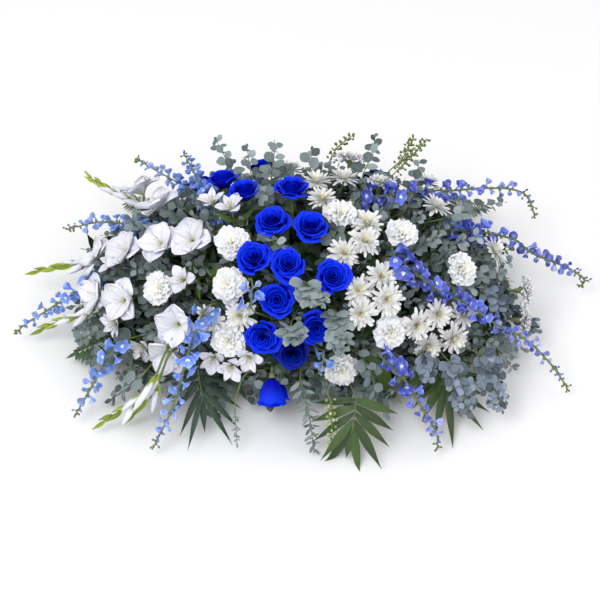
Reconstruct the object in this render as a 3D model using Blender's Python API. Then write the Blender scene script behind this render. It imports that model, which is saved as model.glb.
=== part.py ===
"""Casket spray: cut flowers and greens standing in wet foam, in a saddle tray.

Metres, +Z up, +X to the right and +Y to the back of the spray. The origin is the middle of the
tray's underside. Blooms and stem tips are set out as they appear in the front view, which looks
down on the spray from FRONT_ANGLE above level.
"""
import math
import random
from collections import namedtuple

import bmesh
import bpy
import numpy as np
from mathutils import Vector
from mathutils.bvhtree import BVHTree

MM = 0.001
FIT = 0.35 * MM          # gap round what stands in a hole or lies on a face
GOLDEN = math.radians(137.5)

# The front view
FRONT_ANGLE = math.radians(50)
VIEW_CENTRE = Vector((0, -0.04, 0.10))
VIEW_DISTANCE = 3.0
UP_IN_VIEW = Vector((0, math.sin(FRONT_ANGLE), math.cos(FRONT_ANGLE)))
EYE = VIEW_CENTRE + VIEW_DISTANCE * Vector((0, -math.cos(FRONT_ANGLE), math.sin(FRONT_ANGLE)))

# The dome on which the middles of the blooms lie
DOME_CENTRE = Vector((0, 0, 0.07))
DOME_LENGTH, DOME_DEPTH, DOME_HEIGHT = 0.46, 0.27, 0.26

# Holder
TRAY_LENGTH, TRAY_WIDTH, TRAY_HEIGHT = 0.476, 0.120, 0.035
TRAY_WALL = 2.5 * MM
TRAY_CORNER = 6 * MM
BRICK_LENGTH, BRICK_WIDTH, BRICK_HEIGHT = 0.228, 0.108, 0.080
BRICK_BOTTOM = TRAY_WALL + FIT
BRICK_TOP = BRICK_BOTTOM + BRICK_HEIGHT
BRICK_GAP = 1 * MM
CAGE_WIRE = 2.5 * MM
CAGE_HOOPS = (-0.225, 0, 0.225)
CAGE_RAIL_HEIGHT = 0.080

# Where stems end in the foam, as shares of the place that they come from
INNER_SHARE_X, INNER_SHARE_Y = 0.38, 0.15
INNER_HEIGHT = 0.050
INNER_LIMIT_X, INNER_LIMIT_Y = 0.216, 0.040
INNER_LEAST_X = 0.010
STEM_GAP = 1.2 * MM
ROUTE_TRIES = 400
ROUTE_REACH = Vector((45, 22, 45)) * MM    # furthest that a stem moves aside to be clear
BEND_SHARE = 0.6          # place of a stem's bend on its way from the foam
SIGHT_SHIFTS, SIGHT_STEP = 17, 5 * MM      # moves along the sight tried for a point of a spike
FORK_HEIGHT = 22 * MM     # least height over the foam at which a stem forks
HOLE_MARGIN = 8 * MM      # height over the foam below which a stem's bend has a hole too
JOINT_DEPTH = 20 * MM     # from the blooms down to the line on which their stems fork
JOINT_OVERLAP = 3 * MM    # length that a branch runs inside its trunk
NECK_BELOW, NECK_INSIDE = 16 * MM, 4 * MM  # straight end of a stem, below and inside its bloom
BARE_OVERLAP = 9 * MM     # length that a stem runs inside the frond it bears
BLOOM_BRANCH, TWIG_BRANCH, TAPER = 0.8, 0.75, 0.4    # shares of a stem's radius

# Stem radii
ROSE_STEM, CARNATION_STEM, MUM_STEM = 2.6 * MM, 2.1 * MM, 2.0 * MM
GLADIOLUS_STEM, DELPHINIUM_STEM, ALSTROEMERIA_STEM = 3.4 * MM, 3.0 * MM, 2.3 * MM
TWIG_STEM, FROND_STEM, FILLER_STEM = 1.7 * MM, 2.0 * MM, 1.8 * MM
TWIG_SIDES = 3

# Radius and height of a bloom
ROSE_RADIUS, ROSE_HEIGHT = 35 * MM, 46 * MM
CARNATION_RADIUS, CARNATION_HEIGHT = 34 * MM, 34 * MM
MUM_RADIUS, MUM_HEIGHT = 28 * MM, 14 * MM
GLADIOLUS_RADIUS, GLADIOLUS_HEIGHT = 38 * MM, 30 * MM
TRUMPET_RADIUS, TRUMPET_HEIGHT = 26 * MM, 34 * MM
FLORET_RADIUS = 18 * MM

# Room that a bloom keeps from the others, as a share of its radius
ROOM = {"rose": 0.97, "carnation": 0.97, "mum": 0.86, "gladiolus": 0.95, "trumpet": 0.80}
RADIUS = {"rose": ROSE_RADIUS, "carnation": CARNATION_RADIUS, "mum": MUM_RADIUS,
          "gladiolus": GLADIOLUS_RADIUS, "trumpet": TRUMPET_RADIUS}
HEIGHT = {"rose": ROSE_HEIGHT, "carnation": CARNATION_HEIGHT, "mum": MUM_HEIGHT,
          "gladiolus": GLADIOLUS_HEIGHT, "trumpet": TRUMPET_HEIGHT}

BLADE = 1.3 * MM          # thickness of a petal or leaf along its middle
LEAF_CLEAR = 0.5 * MM     # least gap between pieces of two nodes
GROUND = 3 * MM           # lowest that a leaf hangs
FLATTEN = 0.3 * MM        # most that a face moves where a point is merged after fusing
TINY = 0.02 * MM          # length at which an edge is merged whatever its faces do
LEAST_COSINE = 0.8        # between a face before and after a merge


def sight(s, t):
    """Direction from the eye to the place s, t of the front view, in mm right and up."""
    place = VIEW_CENTRE + Vector((s * MM, 0, 0)) + UP_IN_VIEW * (t * MM)
    return (place - EYE).normalized()


def at_height(s, t, height):
    """The point at a height in mm that is seen at s, t."""
    ray = sight(s, t)
    return EYE + ray * ((height * MM - EYE.z) / ray.z)


def to_dome(vector):
    return Vector((vector.x / DOME_LENGTH, vector.y / DOME_DEPTH, vector.z / DOME_HEIGHT))


def dome_normal(point):
    offset = point - DOME_CENTRE
    return Vector((offset.x / DOME_LENGTH ** 2, offset.y / DOME_DEPTH ** 2,
                   offset.z / DOME_HEIGHT ** 2)).normalized()


def on_dome(s, t):
    """The point of the dome seen at s, t, or the nearest to it where the sight passes beside."""
    ray = sight(s, t)
    start, run = to_dome(EYE - DOME_CENTRE), to_dome(ray)
    middle = -start.dot(run) / run.dot(run)
    inside = middle ** 2 - (start.dot(start) - 1) / run.dot(run)
    return EYE + ray * (middle - math.sqrt(max(inside, 0)))


class Head:
    """One bloom: its middle, the way it faces and the way it may move to get clear."""

    def __init__(self, centre, facing, slide, tall=1.0):
        self.centre = centre
        self.tall = tall
        self.facing = facing.normalized()
        self.slide = slide.normalized()
        self.kind = None
        self.owner = None

    @property
    def radius(self):
        return RADIUS[self.kind]

    @property
    def base(self):
        return self.centre - self.facing * HEIGHT[self.kind] * self.tall / 2

    def axes(self):
        side = self.facing.cross(Vector((0.2, 0.1, 1))).normalized()
        return side, self.facing.cross(side)

    def at(self, radius, angle, height, size=1.0):
        """A point by radius, angle and height above the bloom's base."""
        side, other = self.axes()
        flat = side * math.cos(angle) + other * math.sin(angle)
        return self.base + (flat * radius + self.facing * height * self.tall) * size


def seen(s, t, lift=0, facing=None, height=None, tall=1.0):
    """A bloom seen at s, t: on the dome, or at a height; lift in mm moves it to the viewer.

    tall stretches it the way it faces, as a bloom that is still closed.
    """
    point = on_dome(s, t) if height is None else at_height(s, t, height)
    normal = Vector(facing) if facing else dome_normal(point)
    toward = EYE - point
    return Head(point + toward.normalized() * lift * MM, normal, toward, tall)


def behind(x, z, lift=0):
    """A bloom on the dome's far side, at x and height z in mm."""
    across = (x * MM / DOME_LENGTH) ** 2 + ((z * MM - DOME_CENTRE.z) / DOME_HEIGHT) ** 2
    point = Vector((x * MM, DOME_DEPTH * math.sqrt(max(1 - across, 0.01)), z * MM))
    normal = dome_normal(point)
    return Head(point + normal * lift * MM, normal, normal)


def spray_path(inner, tip, *places):
    """Path seen through the places, from height inner to height tip in mm."""
    reach = [0.0]
    for (s, t), (s2, t2) in zip(places, places[1:]):
        reach.append(reach[-1] + math.hypot(s2 - s, t2 - t))
    return [at_height(s, t, inner + (tip - inner) * (run / reach[-1]) ** 1.3)
            for (s, t), run in zip(places, reach)]


# Blooms of each node
ROSES = {
    "rose_pair_top_left": [seen(-162, 252), seen(-116, 227)],
    "rose_top": [seen(-17, 233)],
    "rose_pair_upper": [seen(-59, 164), seen(23, 153)],
    "rose_pair_middle": [seen(-103, 92), seen(-25, 74, 12)],
    "rose_right": [seen(71, 53)],
    "rose_middle": [seen(-48, 0, 4)],
    "rose_pair_lower": [seen(-78, -76), seen(-17, -109, -14)],
    "rose_lower_right": [seen(34, -57)],
    "rose_hanging": [seen(-57, -193, facing=(0.05, -0.74, -0.67), height=98, tall=1.45)],
    "rose_bunch_back": [seen(-71, 276, -6), behind(-215, 190), behind(165, 205)],
}
CARNATIONS = {
    "carnation_pair_left": [seen(-139, 120), seen(-151, 32)],
    "carnation_pair_lower_left": [seen(-298, 25), seen(-151, -88)],
    "carnation_bunch_top": [seen(86, 187), seen(107, 300), seen(170, 250)],
    "carnation_pair_right": [seen(216, 143), seen(344, 65)],
    "carnation_pair_front": [seen(193, -69), seen(88, -151)],
    "carnation_pair_end": [seen(479, 17, facing=(1, -0.1, 0.15), height=125),
                           seen(475, -42, facing=(1, -0.25, 0.05), height=95)],
    "carnation_pair_back": [behind(60, 190), behind(-310, 140)],
}
MUMS = {
    "mum_spray_top": [seen(-25, 277), seen(36, 252), seen(92, 260, 8), seen(50, 212)],
    "mum_spray_middle": [seen(139, 164), seen(132, 122, 10), seen(98, 100)],
    "mum_spray_centre": [seen(172, 48), seen(184, 4, 8), seen(124, 19), seen(128, -26, 8)],
    "mum_spray_right": [seen(288, 200), seen(344, 187), seen(269, 250), seen(412, 104)],
    "mum_spray_lower_right": [seen(246, -55), seen(269, -98), seen(324, -82, 8), seen(292, -30, 8),
                              seen(345, -30)],
    "mum_spray_left": [seen(-189, -44), seen(-128, -34)],
    "mum_spray_back": [behind(265, 170), behind(-130, 110), behind(110, 110)],
}
TRUMPETS = {
    "alstroemeria_upper_left": [seen(-187, 212, 4), seen(-147, 200, 12), seen(-250, 44)],
    "alstroemeria_left": [seen(-399, 84), seen(-395, -52), seen(-335, -104),
                          seen(-330, -150)],
    "alstroemeria_front": [seen(-182, -128), seen(-146, -142, 8), seen(-112, -126)],
}

Spike = namedtuple("Spike", "kind paths florets")
SPIKES = {
    "gladiolus_upper_left": Spike("gladiolus", [spray_path(
        232, 150, (-250, 165), (-321, 197), (-399, 231), (-443, 258))],
        [seen(-336, 235), seen(-300, 200, 14), seen(-231, 130, 12)]),
    "gladiolus_left": Spike("gladiolus", [spray_path(
        185, 80, (-330, 100), (-407, 96), (-445, 80), (-550, 61))],
        [seen(-426, 92), seen(-372, 105, 14), seen(-294, 122, 8)]),
    "gladiolus_lower_left": Spike("gladiolus", [spray_path(
        175, 45, (-330, 10), (-409, 0), (-451, -31), (-504, -45), (-546, -62))],
        [seen(-430, 12), seen(-375, -2, 10)]),
    "gladiolus_front_left": Spike("gladiolus", [
        spray_path(165, 40, (-280, -100), (-304, -164), (-345, -215), (-409, -252)),
        spray_path(160, 35, (-275, -110), (-300, -180), (-330, -215), (-355, -243))],
        [seen(-277, -109, 10), seen(-262, -62)]),
    "delphinium_top_left": Spike("light", [
        spray_path(262, 190, (-126, 158), (-158, 178), (-220, 227), (-252, 244), (-304, 273),
                   (-344, 296)),
        spray_path(262, 215, (-165, 185), (-210, 242), (-231, 284), (-244, 309))], []),
    "delphinium_upper_left": Spike("light", [spray_path(
        225, 120, (-270, 135), (-336, 151), (-389, 164), (-430, 164), (-487, 149))], []),
    "delphinium_far_left": Spike("light", [spray_path(
        150, 45, (-400, 45), (-451, 27), (-504, -4), (-535, -25), (-571, -46), (-598, -69))], []),
    "delphinium_lower_left": Spike("light", [spray_path(
        140, 35, (-375, -85), (-409, -130), (-430, -168), (-451, -206), (-472, -241))], []),
    "delphinium_hanging_left": Spike("light", [spray_path(
        245, 25, (-196, -10), (-231, -94), (-252, -178), (-273, -241), (-309, -311))], []),
    "delphinium_short": Spike("light", [
        spray_path(265, 290, (-104, -22), (-102, 10), (-100, 36)),
        spray_path(215, 190, (50, -105), (50, -126), (40, -150))], []),
    "delphinium_upper_right": Spike("deep", [spray_path(
        285, 140, (124, 216), (202, 220), (273, 231), (315, 229), (376, 235), (435, 235),
        (470, 226), (485, 206), (493, 174))], []),
    "delphinium_right": Spike("deep", [spray_path(
        225, 45, (300, 150), (326, 147), (399, 141), (456, 126), (482, 100), (525, 82), (556, 71),
        (582, 57), (601, 40), (588, 29))], []),
    "delphinium_lower_right": Spike("deep", [spray_path(
        300, 35, (189, 101), (239, 59), (292, 17), (349, -6), (412, -52), (460, -74), (487, -92),
        (517, -124), (540, -150), (563, -189))], []),
    "delphinium_hanging_right": Spike("deep", [spray_path(
        190, 25, (164, -113), (218, -164), (239, -197), (260, -233), (280, -265), (290, -286),
        (288, -311))], []),
    "filler_top": Spike("filler", [
        spray_path(240, 235, (58, 285), (78, 322), (111, 346)),
        spray_path(280, 255, (189, 273), (214, 294), (237, 340)),
        spray_path(280, 250, (195, 262), (232, 300), (265, 336))], []),
    "filler_front": Spike("filler", [spray_path(
        140, 30, (55, -190), (65, -214), (67, -246), (67, -300))], []),
}

Twigs = namedtuple("Twigs", "kind paths")
GREENS = {
    "eucalyptus_top": Twigs("eucalyptus", [
        spray_path(250, 270, (-120, 235), (-150, 285), (-174, 332)),
        spray_path(260, 280, (-100, 245), (-105, 280), (-111, 317)),
        spray_path(265, 285, (-60, 262), (-55, 295), (-53, 326)),
        spray_path(290, 310, (-90, 190), (-70, 232))]),
    "eucalyptus_upper_right": Twigs("eucalyptus", [
        spray_path(275, 290, (20, 270), (25, 311)),
        spray_path(275, 270, (130, 262), (149, 298), (158, 342)),
        spray_path(250, 235, (225, 190), (238, 235), (250, 288)),
        spray_path(250, 190, (300, 170), (376, 197), (425, 205))]),
    "eucalyptus_middle": Twigs("eucalyptus", [
        spray_path(290, 330, (66, 108), (72, 132), (79, 156)),
        spray_path(300, 330, (-60, 118), (-62, 128), (-40, 112)),
        spray_path(300, 320, (10, 40), (19, 15), (45, -10)),
        spray_path(260, 270, (-20, -50), (-17, -70), (-10, -85)),
        spray_path(250, 250, (75, -20), (80, -60), (88, -110))]),
    "eucalyptus_left": Twigs("eucalyptus", [
        spray_path(240, 215, (-195, 100), (-225, 105), (-240, 85)),
        spray_path(190, 150, (-300, 62), (-349, 69), (-425, 50)),
        spray_path(190, 110, (-290, 0), (-335, 12), (-400, 25)),
        spray_path(120, 50, (-350, -90), (-400, -111), (-435, -120)),
        spray_path(120, 25, (-330, -160), (-372, -188), (-397, -212))]),
    "eucalyptus_lower_right": Twigs("eucalyptus", [
        spray_path(135, 60, (378, -113), (401, -132), (405, -183), (424, -229)),
        spray_path(150, 70, (309, -124), (326, -153), (340, -191), (353, -239)),
        spray_path(150, 120, (255, -110), (265, -130), (269, -164)),
        spray_path(140, 60, (393, 32), (428, -10), (470, -40), (500, -63))]),
    "eucalyptus_front": Twigs("eucalyptus", [
        spray_path(170, 60, (116, -105), (147, -141), (155, -178), (172, -225)),
        spray_path(160, 15, (0, -165), (10, -205), (21, -250), (29, -315)),
        spray_path(150, 25, (-115, -150), (-135, -200), (-137, -240), (-132, -305))]),
    "palm_front": Twigs("palm", [spray_path(110, 12, (118, -205), (112, -260), (94, -336))]),
    "palm_right": Twigs("palm", [spray_path(85, 22, (285, -140), (310, -190), (345, -248))]),
    "palm_left": Twigs("palm", [spray_path(105, 38, (-216, -140), (-206, -200), (-200, -280))]),
    "fern_left": Twigs("fern", [
        spray_path(90, 40, (-330, -40), (-400, -80), (-468, -110)),
        [Vector((-0.22, 0.17, 0.13)), Vector((-0.31, 0.24, 0.11)), Vector((-0.39, 0.29, 0.05))],
        [Vector((-0.15, 0.19, 0.11)), Vector((-0.19, 0.26, 0.09)), Vector((-0.23, 0.32, 0.04))]]),
    "fern_right": Twigs("fern", [
        spray_path(110, 40, (300, -70), (360, -80), (430, -95)),
        [Vector((0.24, 0.17, 0.13)), Vector((0.33, 0.24, 0.11)), Vector((0.42, 0.28, 0.05))],
        [Vector((0.01, 0.20, 0.11)), Vector((0.02, 0.27, 0.09)), Vector((0.03, 0.35, 0.04))]]),
    "broad_leaves": Twigs("broad", [
        spray_path(170, 70, (130, -108), (175, -150), (220, -200)),
        spray_path(120, 60, (-250, -50), (-300, -80), (-345, -62))]),
}

COLOURS = {
    "rose": (0.02, 0.09, 0.62), "carnation": (0.90, 0.90, 0.84), "mum": (0.90, 0.90, 0.78),
    "gladiolus": (0.92, 0.93, 0.88), "trumpet": (0.88, 0.86, 0.76), "light": (0.20, 0.34, 0.80),
    "deep": (0.07, 0.09, 0.48), "filler": (0.36, 0.44, 0.12), "eucalyptus": (0.20, 0.30, 0.24),
    "palm": (0.06, 0.22, 0.04), "fern": (0.03, 0.12, 0.03), "broad": (0.09, 0.26, 0.05),
    "tray": (0.03, 0.09, 0.04), "foam": (0.05, 0.20, 0.08), "cage": (0.04, 0.14, 0.06),
}


# Closed skins

def loft(rings):
    """Closed skin over rings of points; a ring of one point is a tip."""
    verts = [point for ring in rings for point in ring]
    faces = []
    start = 0
    for lower, upper in zip(rings, rings[1:]):
        after = start + len(lower)
        count = max(len(lower), len(upper))
        for i in range(count):
            j = (i + 1) % count
            if len(lower) == 1:
                faces.append((start, after + j, after + i))
            elif len(upper) == 1:
                faces.append((start + i, start + j, after))
            elif count == 4 and i % 2:
                faces.append((start + i, start + j, after + i))
                faces.append((start + j, after + j, after + i))
            else:
                faces.append((start + i, start + j, after + j))
                faces.append((start + i, after + j, after + i))
        start = after
    if len(rings[0]) > 1:
        faces.append(tuple(reversed(range(len(rings[0])))))
    if len(rings[-1]) > 1:
        faces.append(tuple(range(start, start + len(rings[-1]))))
    return outward(verts, faces)


def outward(verts, faces):
    """The skin with its faces pointing out."""
    volume = sum(verts[f[0]].dot(verts[f[i]].cross(verts[f[i + 1]]))
                 for f in faces for i in range(1, len(f) - 1))
    if volume < 0:
        faces = [tuple(reversed(face)) for face in faces]
    return verts, faces


def tube(points, radii, sides):
    """Closed tube along points; a radius of 0 at an end makes it pointed."""
    rings = []
    side = (points[1] - points[0]).orthogonal().normalized()
    for i, (point, radius) in enumerate(zip(points, radii)):
        ahead = (points[min(i + 1, len(points) - 1)] - points[max(i - 1, 0)]).normalized()
        side = (side - ahead * side.dot(ahead)).normalized()
        other = ahead.cross(side)
        if radius == 0:
            rings.append([point])
            continue
        rings.append([point + (side * math.cos(a) + other * math.sin(a)) * radius
                      for a in (math.tau * k / sides for k in range(sides))])
    return loft(rings)


def blade(points, normals, widths, thickness=BLADE):
    """Thin leaf along points, with a keel as deep as thickness under its middle."""
    rings = [[points[0]]]
    for i in range(1, len(points) - 1):
        ahead = (points[i + 1] - points[i - 1]).normalized()
        side = ahead.cross(normals[i]).normalized()
        up = side.cross(ahead)
        width, middle = widths[i], points[i]
        rings.append([middle - side * width, middle - up * thickness, middle + side * width])
    rings.append([points[-1]])
    return loft(rings)


def arched(start, ahead, up, length, widths, droop, thickness=BLADE):
    """A blade that leaves start along ahead and bends away from up by droop radians."""
    count = len(widths)
    points, normals = [start], [up]
    step = length / (count - 1)
    for i in range(1, count):
        turn = droop * (i - 0.5) / (count - 1)
        course = ahead * math.cos(turn) - up * math.sin(turn)
        points.append(points[-1] + course * step)
        normals.append(up * math.cos(turn) + ahead * math.sin(turn))
    return blade(points, normals, widths, thickness)


# What is already placed: round runs for the stems, and skins for everything

class Placed:
    """Stems and blooms as round runs, and each piece's skin, with the node that owns it."""

    def __init__(self):
        self.starts, self.ends, self.radii, self.owners = [], [], [], []
        self.skins = []

    def add_run(self, owner, start, end, radius):
        self.starts.append(tuple(start))
        self.ends.append(tuple(end))
        self.radii.append(radius)
        self.owners.append(owner)

    def add_path(self, owner, path, radius):
        for start, end in zip(path, path[1:]):
            self.add_run(owner, start, end, radius)

    def room(self, skipped, path, radius):
        """Least gap between a path of that radius and what is placed, but for skipped owners."""
        samples = []
        for start, end in zip(path, path[1:]):
            count = max(int((end - start).length / (4 * MM)), 1)
            samples += [tuple(start.lerp(end, i / count)) for i in range(count + 1)]
        others = np.array([name not in skipped for name in self.owners])
        if not others.any():
            return 1.0
        a = np.array(self.starts)[others]
        b = np.array(self.ends)[others]
        r = np.array(self.radii)[others]
        p = np.array(samples)[:, None, :]
        run = b - a
        length = np.maximum((run * run).sum(1), 1e-12)
        share = np.clip(((p - a) * run).sum(2) / length, 0, 1)
        gaps = np.linalg.norm(p - (a + share[:, :, None] * run), axis=2) - r - radius
        return float(gaps.min())

    def add_skin(self, owner, verts, faces):
        corner = Vector([min(v[k] for v in verts) for k in range(3)])
        far = Vector([max(v[k] for v in verts) for k in range(3)])
        self.skins.append((owner, corner, far, BVHTree.FromPolygons(verts, faces)))

    def fits(self, owner, verts, faces):
        """Whether a skin, grown by the least gap, meets no skin of another node."""
        wide = grown(verts, faces, LEAF_CLEAR)
        low = Vector([min(v[k] for v in wide) for k in range(3)])
        high = Vector([max(v[k] for v in wide) for k in range(3)])
        if low.z < GROUND:
            return False
        tree = BVHTree.FromPolygons(wide, faces)
        for other, corner, far, skin in self.skins:
            if other == owner or any(low[k] > far[k] or high[k] < corner[k] for k in range(3)):
                continue
            if tree.overlap(skin) or inside(wide[0], skin):
                return False
        return True


def inside(point, skin):
    """Whether a point is inside a closed skin: a ray from it then leaves an odd number of times."""
    course = Vector((0.31, 0.22, 0.93)).normalized()
    hits = 0
    while True:
        place, _, _, _ = skin.ray_cast(point, course)
        if place is None:
            return hits % 2 == 1
        point = place + course * 0.01 * MM
        hits += 1


def grown(verts, faces, distance):
    """The skin's points moved out by a distance."""
    normals = [Vector() for _ in verts]
    for face in faces:
        a, b, c = (verts[face[i]] for i in range(3))
        normal = (b - a).cross(c - a).normalized()
        for index in face:
            normals[index] += normal
    return [v + n.normalized() * distance if n.length > 0 else v for v, n in zip(verts, normals)]


PLACED = Placed()
PARTS = {}                # node name: its pieces, the stem first


def add(owner, skin, must=False):
    """Keep a piece of a node where it is clear of the other nodes."""
    verts, faces = skin
    if not must and not PLACED.fits(owner, verts, faces):
        return False
    PLACED.add_skin(owner, verts, faces)
    PARTS.setdefault(owner, []).append(skin)
    return True


# Stems

def inner_end(point):
    """Where in the foam a stem that comes from a point ends."""
    x = max(-INNER_LIMIT_X, min(INNER_LIMIT_X, INNER_SHARE_X * point.x))
    x = math.copysign(max(abs(x), INNER_LEAST_X), x)
    y = max(-INNER_LIMIT_Y, min(INNER_LIMIT_Y, INNER_SHARE_Y * point.y))
    return Vector((x, y, INNER_HEIGHT))


def route(skipped, inner, outer, radius, draw, loose_inner=True):
    """Path from an inner point through the outer points, moved until it is clear."""
    best, best_room = None, -1.0
    for attempt in range(ROUTE_TRIES):
        reach = ROUTE_REACH * (attempt / ROUTE_TRIES)
        start = inner.copy()
        if loose_inner:
            start.x += draw.uniform(-reach.x, reach.x)
            start.y += draw.uniform(-reach.y, reach.y)
            start.x = max(-INNER_LIMIT_X, min(INNER_LIMIT_X, start.x))
            start.y = max(-INNER_LIMIT_Y, min(INNER_LIMIT_Y, start.y))
            if start.x * inner.x < INNER_LEAST_X * abs(inner.x):
                continue
        bend = Vector([draw.uniform(-reach.x, reach.x) for _ in range(3)])
        middle = start.lerp(outer[0], BEND_SHARE) + bend
        path = [start, middle, outer[0]]
        room = min(PLACED.room(skipped, path, radius), middle.z - GROUND)
        if room > best_room:
            best, best_room = path, room
        if room > STEM_GAP:
            break
    return best + list(outer[1:])


def add_stem(owner, path, radius, sides, tip):
    """A stem that narrows to a tip at its last point, as skin and as runs."""
    PLACED.add_path(owner, path, radius)
    add(owner, tube(path, [radius] * (len(path) - 1) + [tip], sides), must=True)


def clear_path(owner, path, radius):
    """The path with its points moved along the sight, the tip last, until it is clear."""
    moved = [point.copy() for point in path]
    for i in range(len(path) - 1):
        toward = (EYE - path[i]).normalized()
        best_room = -1.0
        for step in range(SIGHT_SHIFTS):
            shift = (step + 1) // 2 * SIGHT_STEP * (-1 if step % 2 else 1)
            place = path[i] + toward * shift
            run = moved[max(i - 1, 0):i] + [place, path[i + 1]]
            room = min(PLACED.room([owner], run, radius), place.z - GROUND - radius)
            if room > best_room:
                moved[i], best_room = place, room
            if room > STEM_GAP:
                break
    return moved


STANDING = []             # path, radius and sides of each stem that stands in the foam


def stand(owner, path, radius, sides, tip):
    """A stem with its lower end in the foam."""
    add_stem(owner, path, radius, sides, tip)
    STANDING.append((path, radius, sides))


def joint_between(inner, middle, fork):
    """Where a trunk forks: at a share of its way, and clear of the foam."""
    joint = inner.lerp(middle, fork)
    joint.z = max(joint.z, BRICK_TOP + FORK_HEIGHT)
    return joint


def inside_end(trunk):
    """A point a little inside a trunk's outer end, from which its branches leave."""
    return trunk[-1] + (trunk[-2] - trunk[-1]).normalized() * JOINT_OVERLAP


def bloom_stems(owner, heads, radius, sides, fork):
    """Stem of a node's blooms, forked at a share of its way where they are several."""
    draw = random.Random(owner)
    middle = sum((head.base for head in heads), Vector()) / len(heads)
    inner = inner_end(middle)
    necks = [[head.base - head.facing * NECK_BELOW, head.base + head.facing * NECK_INSIDE]
             for head in heads]
    if len(heads) == 1:
        stand(owner, route([owner] + heads, inner, necks[0], radius, draw), radius, sides, radius)
        return
    joint = joint_between(inner, middle - dome_normal(middle) * JOINT_DEPTH, fork)
    trunk = route([owner], inner, [joint], radius, draw)
    stand(owner, trunk, radius, sides, radius)
    branch = radius * BLOOM_BRANCH
    for head, neck in zip(heads, necks):
        path = route([owner, head], inside_end(trunk), neck, branch, draw, False)
        add_stem(owner, path, branch, TWIG_SIDES, branch)


def forked_stems(owner, paths, radius, fork, bare):
    """Stems of spikes or twigs: one trunk out of the foam, then a run along each path.

    A bare stem ends just inside the path's start, where a frond goes on as its own rib.
    """
    draw = random.Random(owner)
    paths = [clear_path(owner, path, radius) for path in paths]
    runs = [[path[0], along(path, BARE_OVERLAP)[0]] if bare else path for path in paths]
    middle = sum((path[0] for path in paths), Vector()) / len(paths)
    inner = inner_end(middle)
    if len(paths) == 1:
        whole = route([owner], inner, runs[0], radius, draw)
        stand(owner, whole, radius, TWIG_SIDES, radius * TAPER)
        return paths
    trunk = route([owner], inner, [joint_between(inner, middle, fork)], radius, draw)
    stand(owner, trunk, radius, TWIG_SIDES, radius)
    branch = radius * TWIG_BRANCH
    for run in runs:
        whole = route([owner], inside_end(trunk), run, branch, draw, False)
        add_stem(owner, whole, branch, TWIG_SIDES, radius * TAPER)
    return paths


# Blooms. The profiles are in mm.

SETTLE_ROUNDS, SETTLE_STEP = 120, 0.25
SLIDE_ALONG, SLIDE_ACROSS = 1.3, 0.5       # how freely a bloom gives way along its slide, and across
HEAD_SIZES = (1.0, 0.93, 0.86, 0.79, 0.72, 0.65, 0.58, 0.5)    # tried until one is clear
PETAL_SIZES = (1.0, 0.88, 0.76)
TRUMPET_SIZES = (1.0, 0.88, 0.76, 0.64, 0.52)

ROSE_CUP = ((5, 0, 0), (16, 17, 0), (18, 38, 3), (10, 33, 0))  # radius, height, lobe
ROSE_CUP_SIDES, ROSE_BUD_TOP, ROSE_PETALS = 6, 41, 5
ROSE_PETAL = ((5, 5, 0), (24, 12, 36), (32, 28, 40), (37, 34, 0))  # radius, height, half angle
PETAL_LAP = 0.07          # share of the radius by which a petal's one edge is outside the other

CARNATION_LAYERS = ((34, 12, 4), (25, 16, 2), (24, 27, 4), (12, 23, 1))  # radius, height, ruffle
CARNATION_SIDES, CARNATION_CALYX, CARNATION_TOP = 10, 6, 33
RUFFLE_ACROSS, RUFFLE_LEAST, RUFFLE_MOST = 0.6, 0.6, 1.2

MUM_SIDES = 12
MUM_LOWER = ((28, 1), (13, 1))             # radius and height of tips and of notches
MUM_WAIST = ((10, 5), (10, 5))
MUM_UPPER = ((21, 13), (9, 9))
MUM_DISC = 9

TRUMPET_NECK, TRUMPET_NOTCH = (0.28, 0.45), (0.62, 0.92)       # shares of radius and height
TRUMPET_THROAT = 0.55
ALSTROEMERIA_SIDES, GLADIOLUS_SIDES = 6, 12
ROOT_BELOW, STALK_INSIDE, STALK = 3 * MM, 4 * MM, 2 * MM


def settle(heads):
    """Move blooms that share room apart, mostly toward or away from the viewer."""
    for _ in range(SETTLE_ROUNDS):
        for i, one in enumerate(heads):
            for other in heads[i + 1:]:
                apart = one.centre - other.centre
                need = (ROOM[one.kind] * one.radius + ROOM[other.kind] * other.radius
                        - apart.length)
                if need <= 0:
                    continue
                push = apart.normalized() * need * SETTLE_STEP
                for head, sign in ((one, 1), (other, -1)):
                    sliding = head.slide * push.dot(head.slide)
                    head.centre += (sliding * SLIDE_ALONG + (push - sliding) * SLIDE_ACROSS) * sign


def whole_head(head, rings_at):
    """Add a bloom that is one skin, smaller where it would meet another."""
    for size in HEAD_SIZES:
        if add(head.owner, loft(rings_at(size))):
            return


def rose(head, draw):
    """A core with a lobed cup round its bud, and a whorl of petals that overlap round it."""
    def rings_at(size):
        rings = [[head.at((radius + lobe * (k % 2)) * MM, math.tau * k / ROSE_CUP_SIDES,
                          (height + lobe * (k % 2)) * MM, size) for k in range(ROSE_CUP_SIDES)]
                 for radius, height, lobe in ROSE_CUP]
        return rings + [[head.at(0, 0, ROSE_BUD_TOP * MM, size)]]
    whole_head(head, rings_at)
    turn = draw.uniform(0, math.tau)
    for k in range(ROSE_PETALS):
        for size in PETAL_SIZES:
            if add(head.owner, whorl_petal(head, turn + math.tau * k / ROSE_PETALS, size)):
                break


def whorl_petal(head, angle, size):
    """Cupped petal, pointed at its base and at its tip."""
    rings = []
    for radius, height, half in ROSE_PETAL:
        reach = radius * MM * (size if rings else 1)
        if half == 0:
            rings.append([head.at(reach, angle, height * MM)])
            continue
        spread = math.radians(half) * size
        up = height * MM * size
        rings.append([head.at(reach * (1 + PETAL_LAP), angle + spread, up),
                      head.at(reach, angle, up),
                      head.at(reach * (1 - PETAL_LAP), angle - spread, up),
                      head.at(reach * (math.cos(spread) + 1) / 2, angle, up)])
    return loft(rings)


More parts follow.
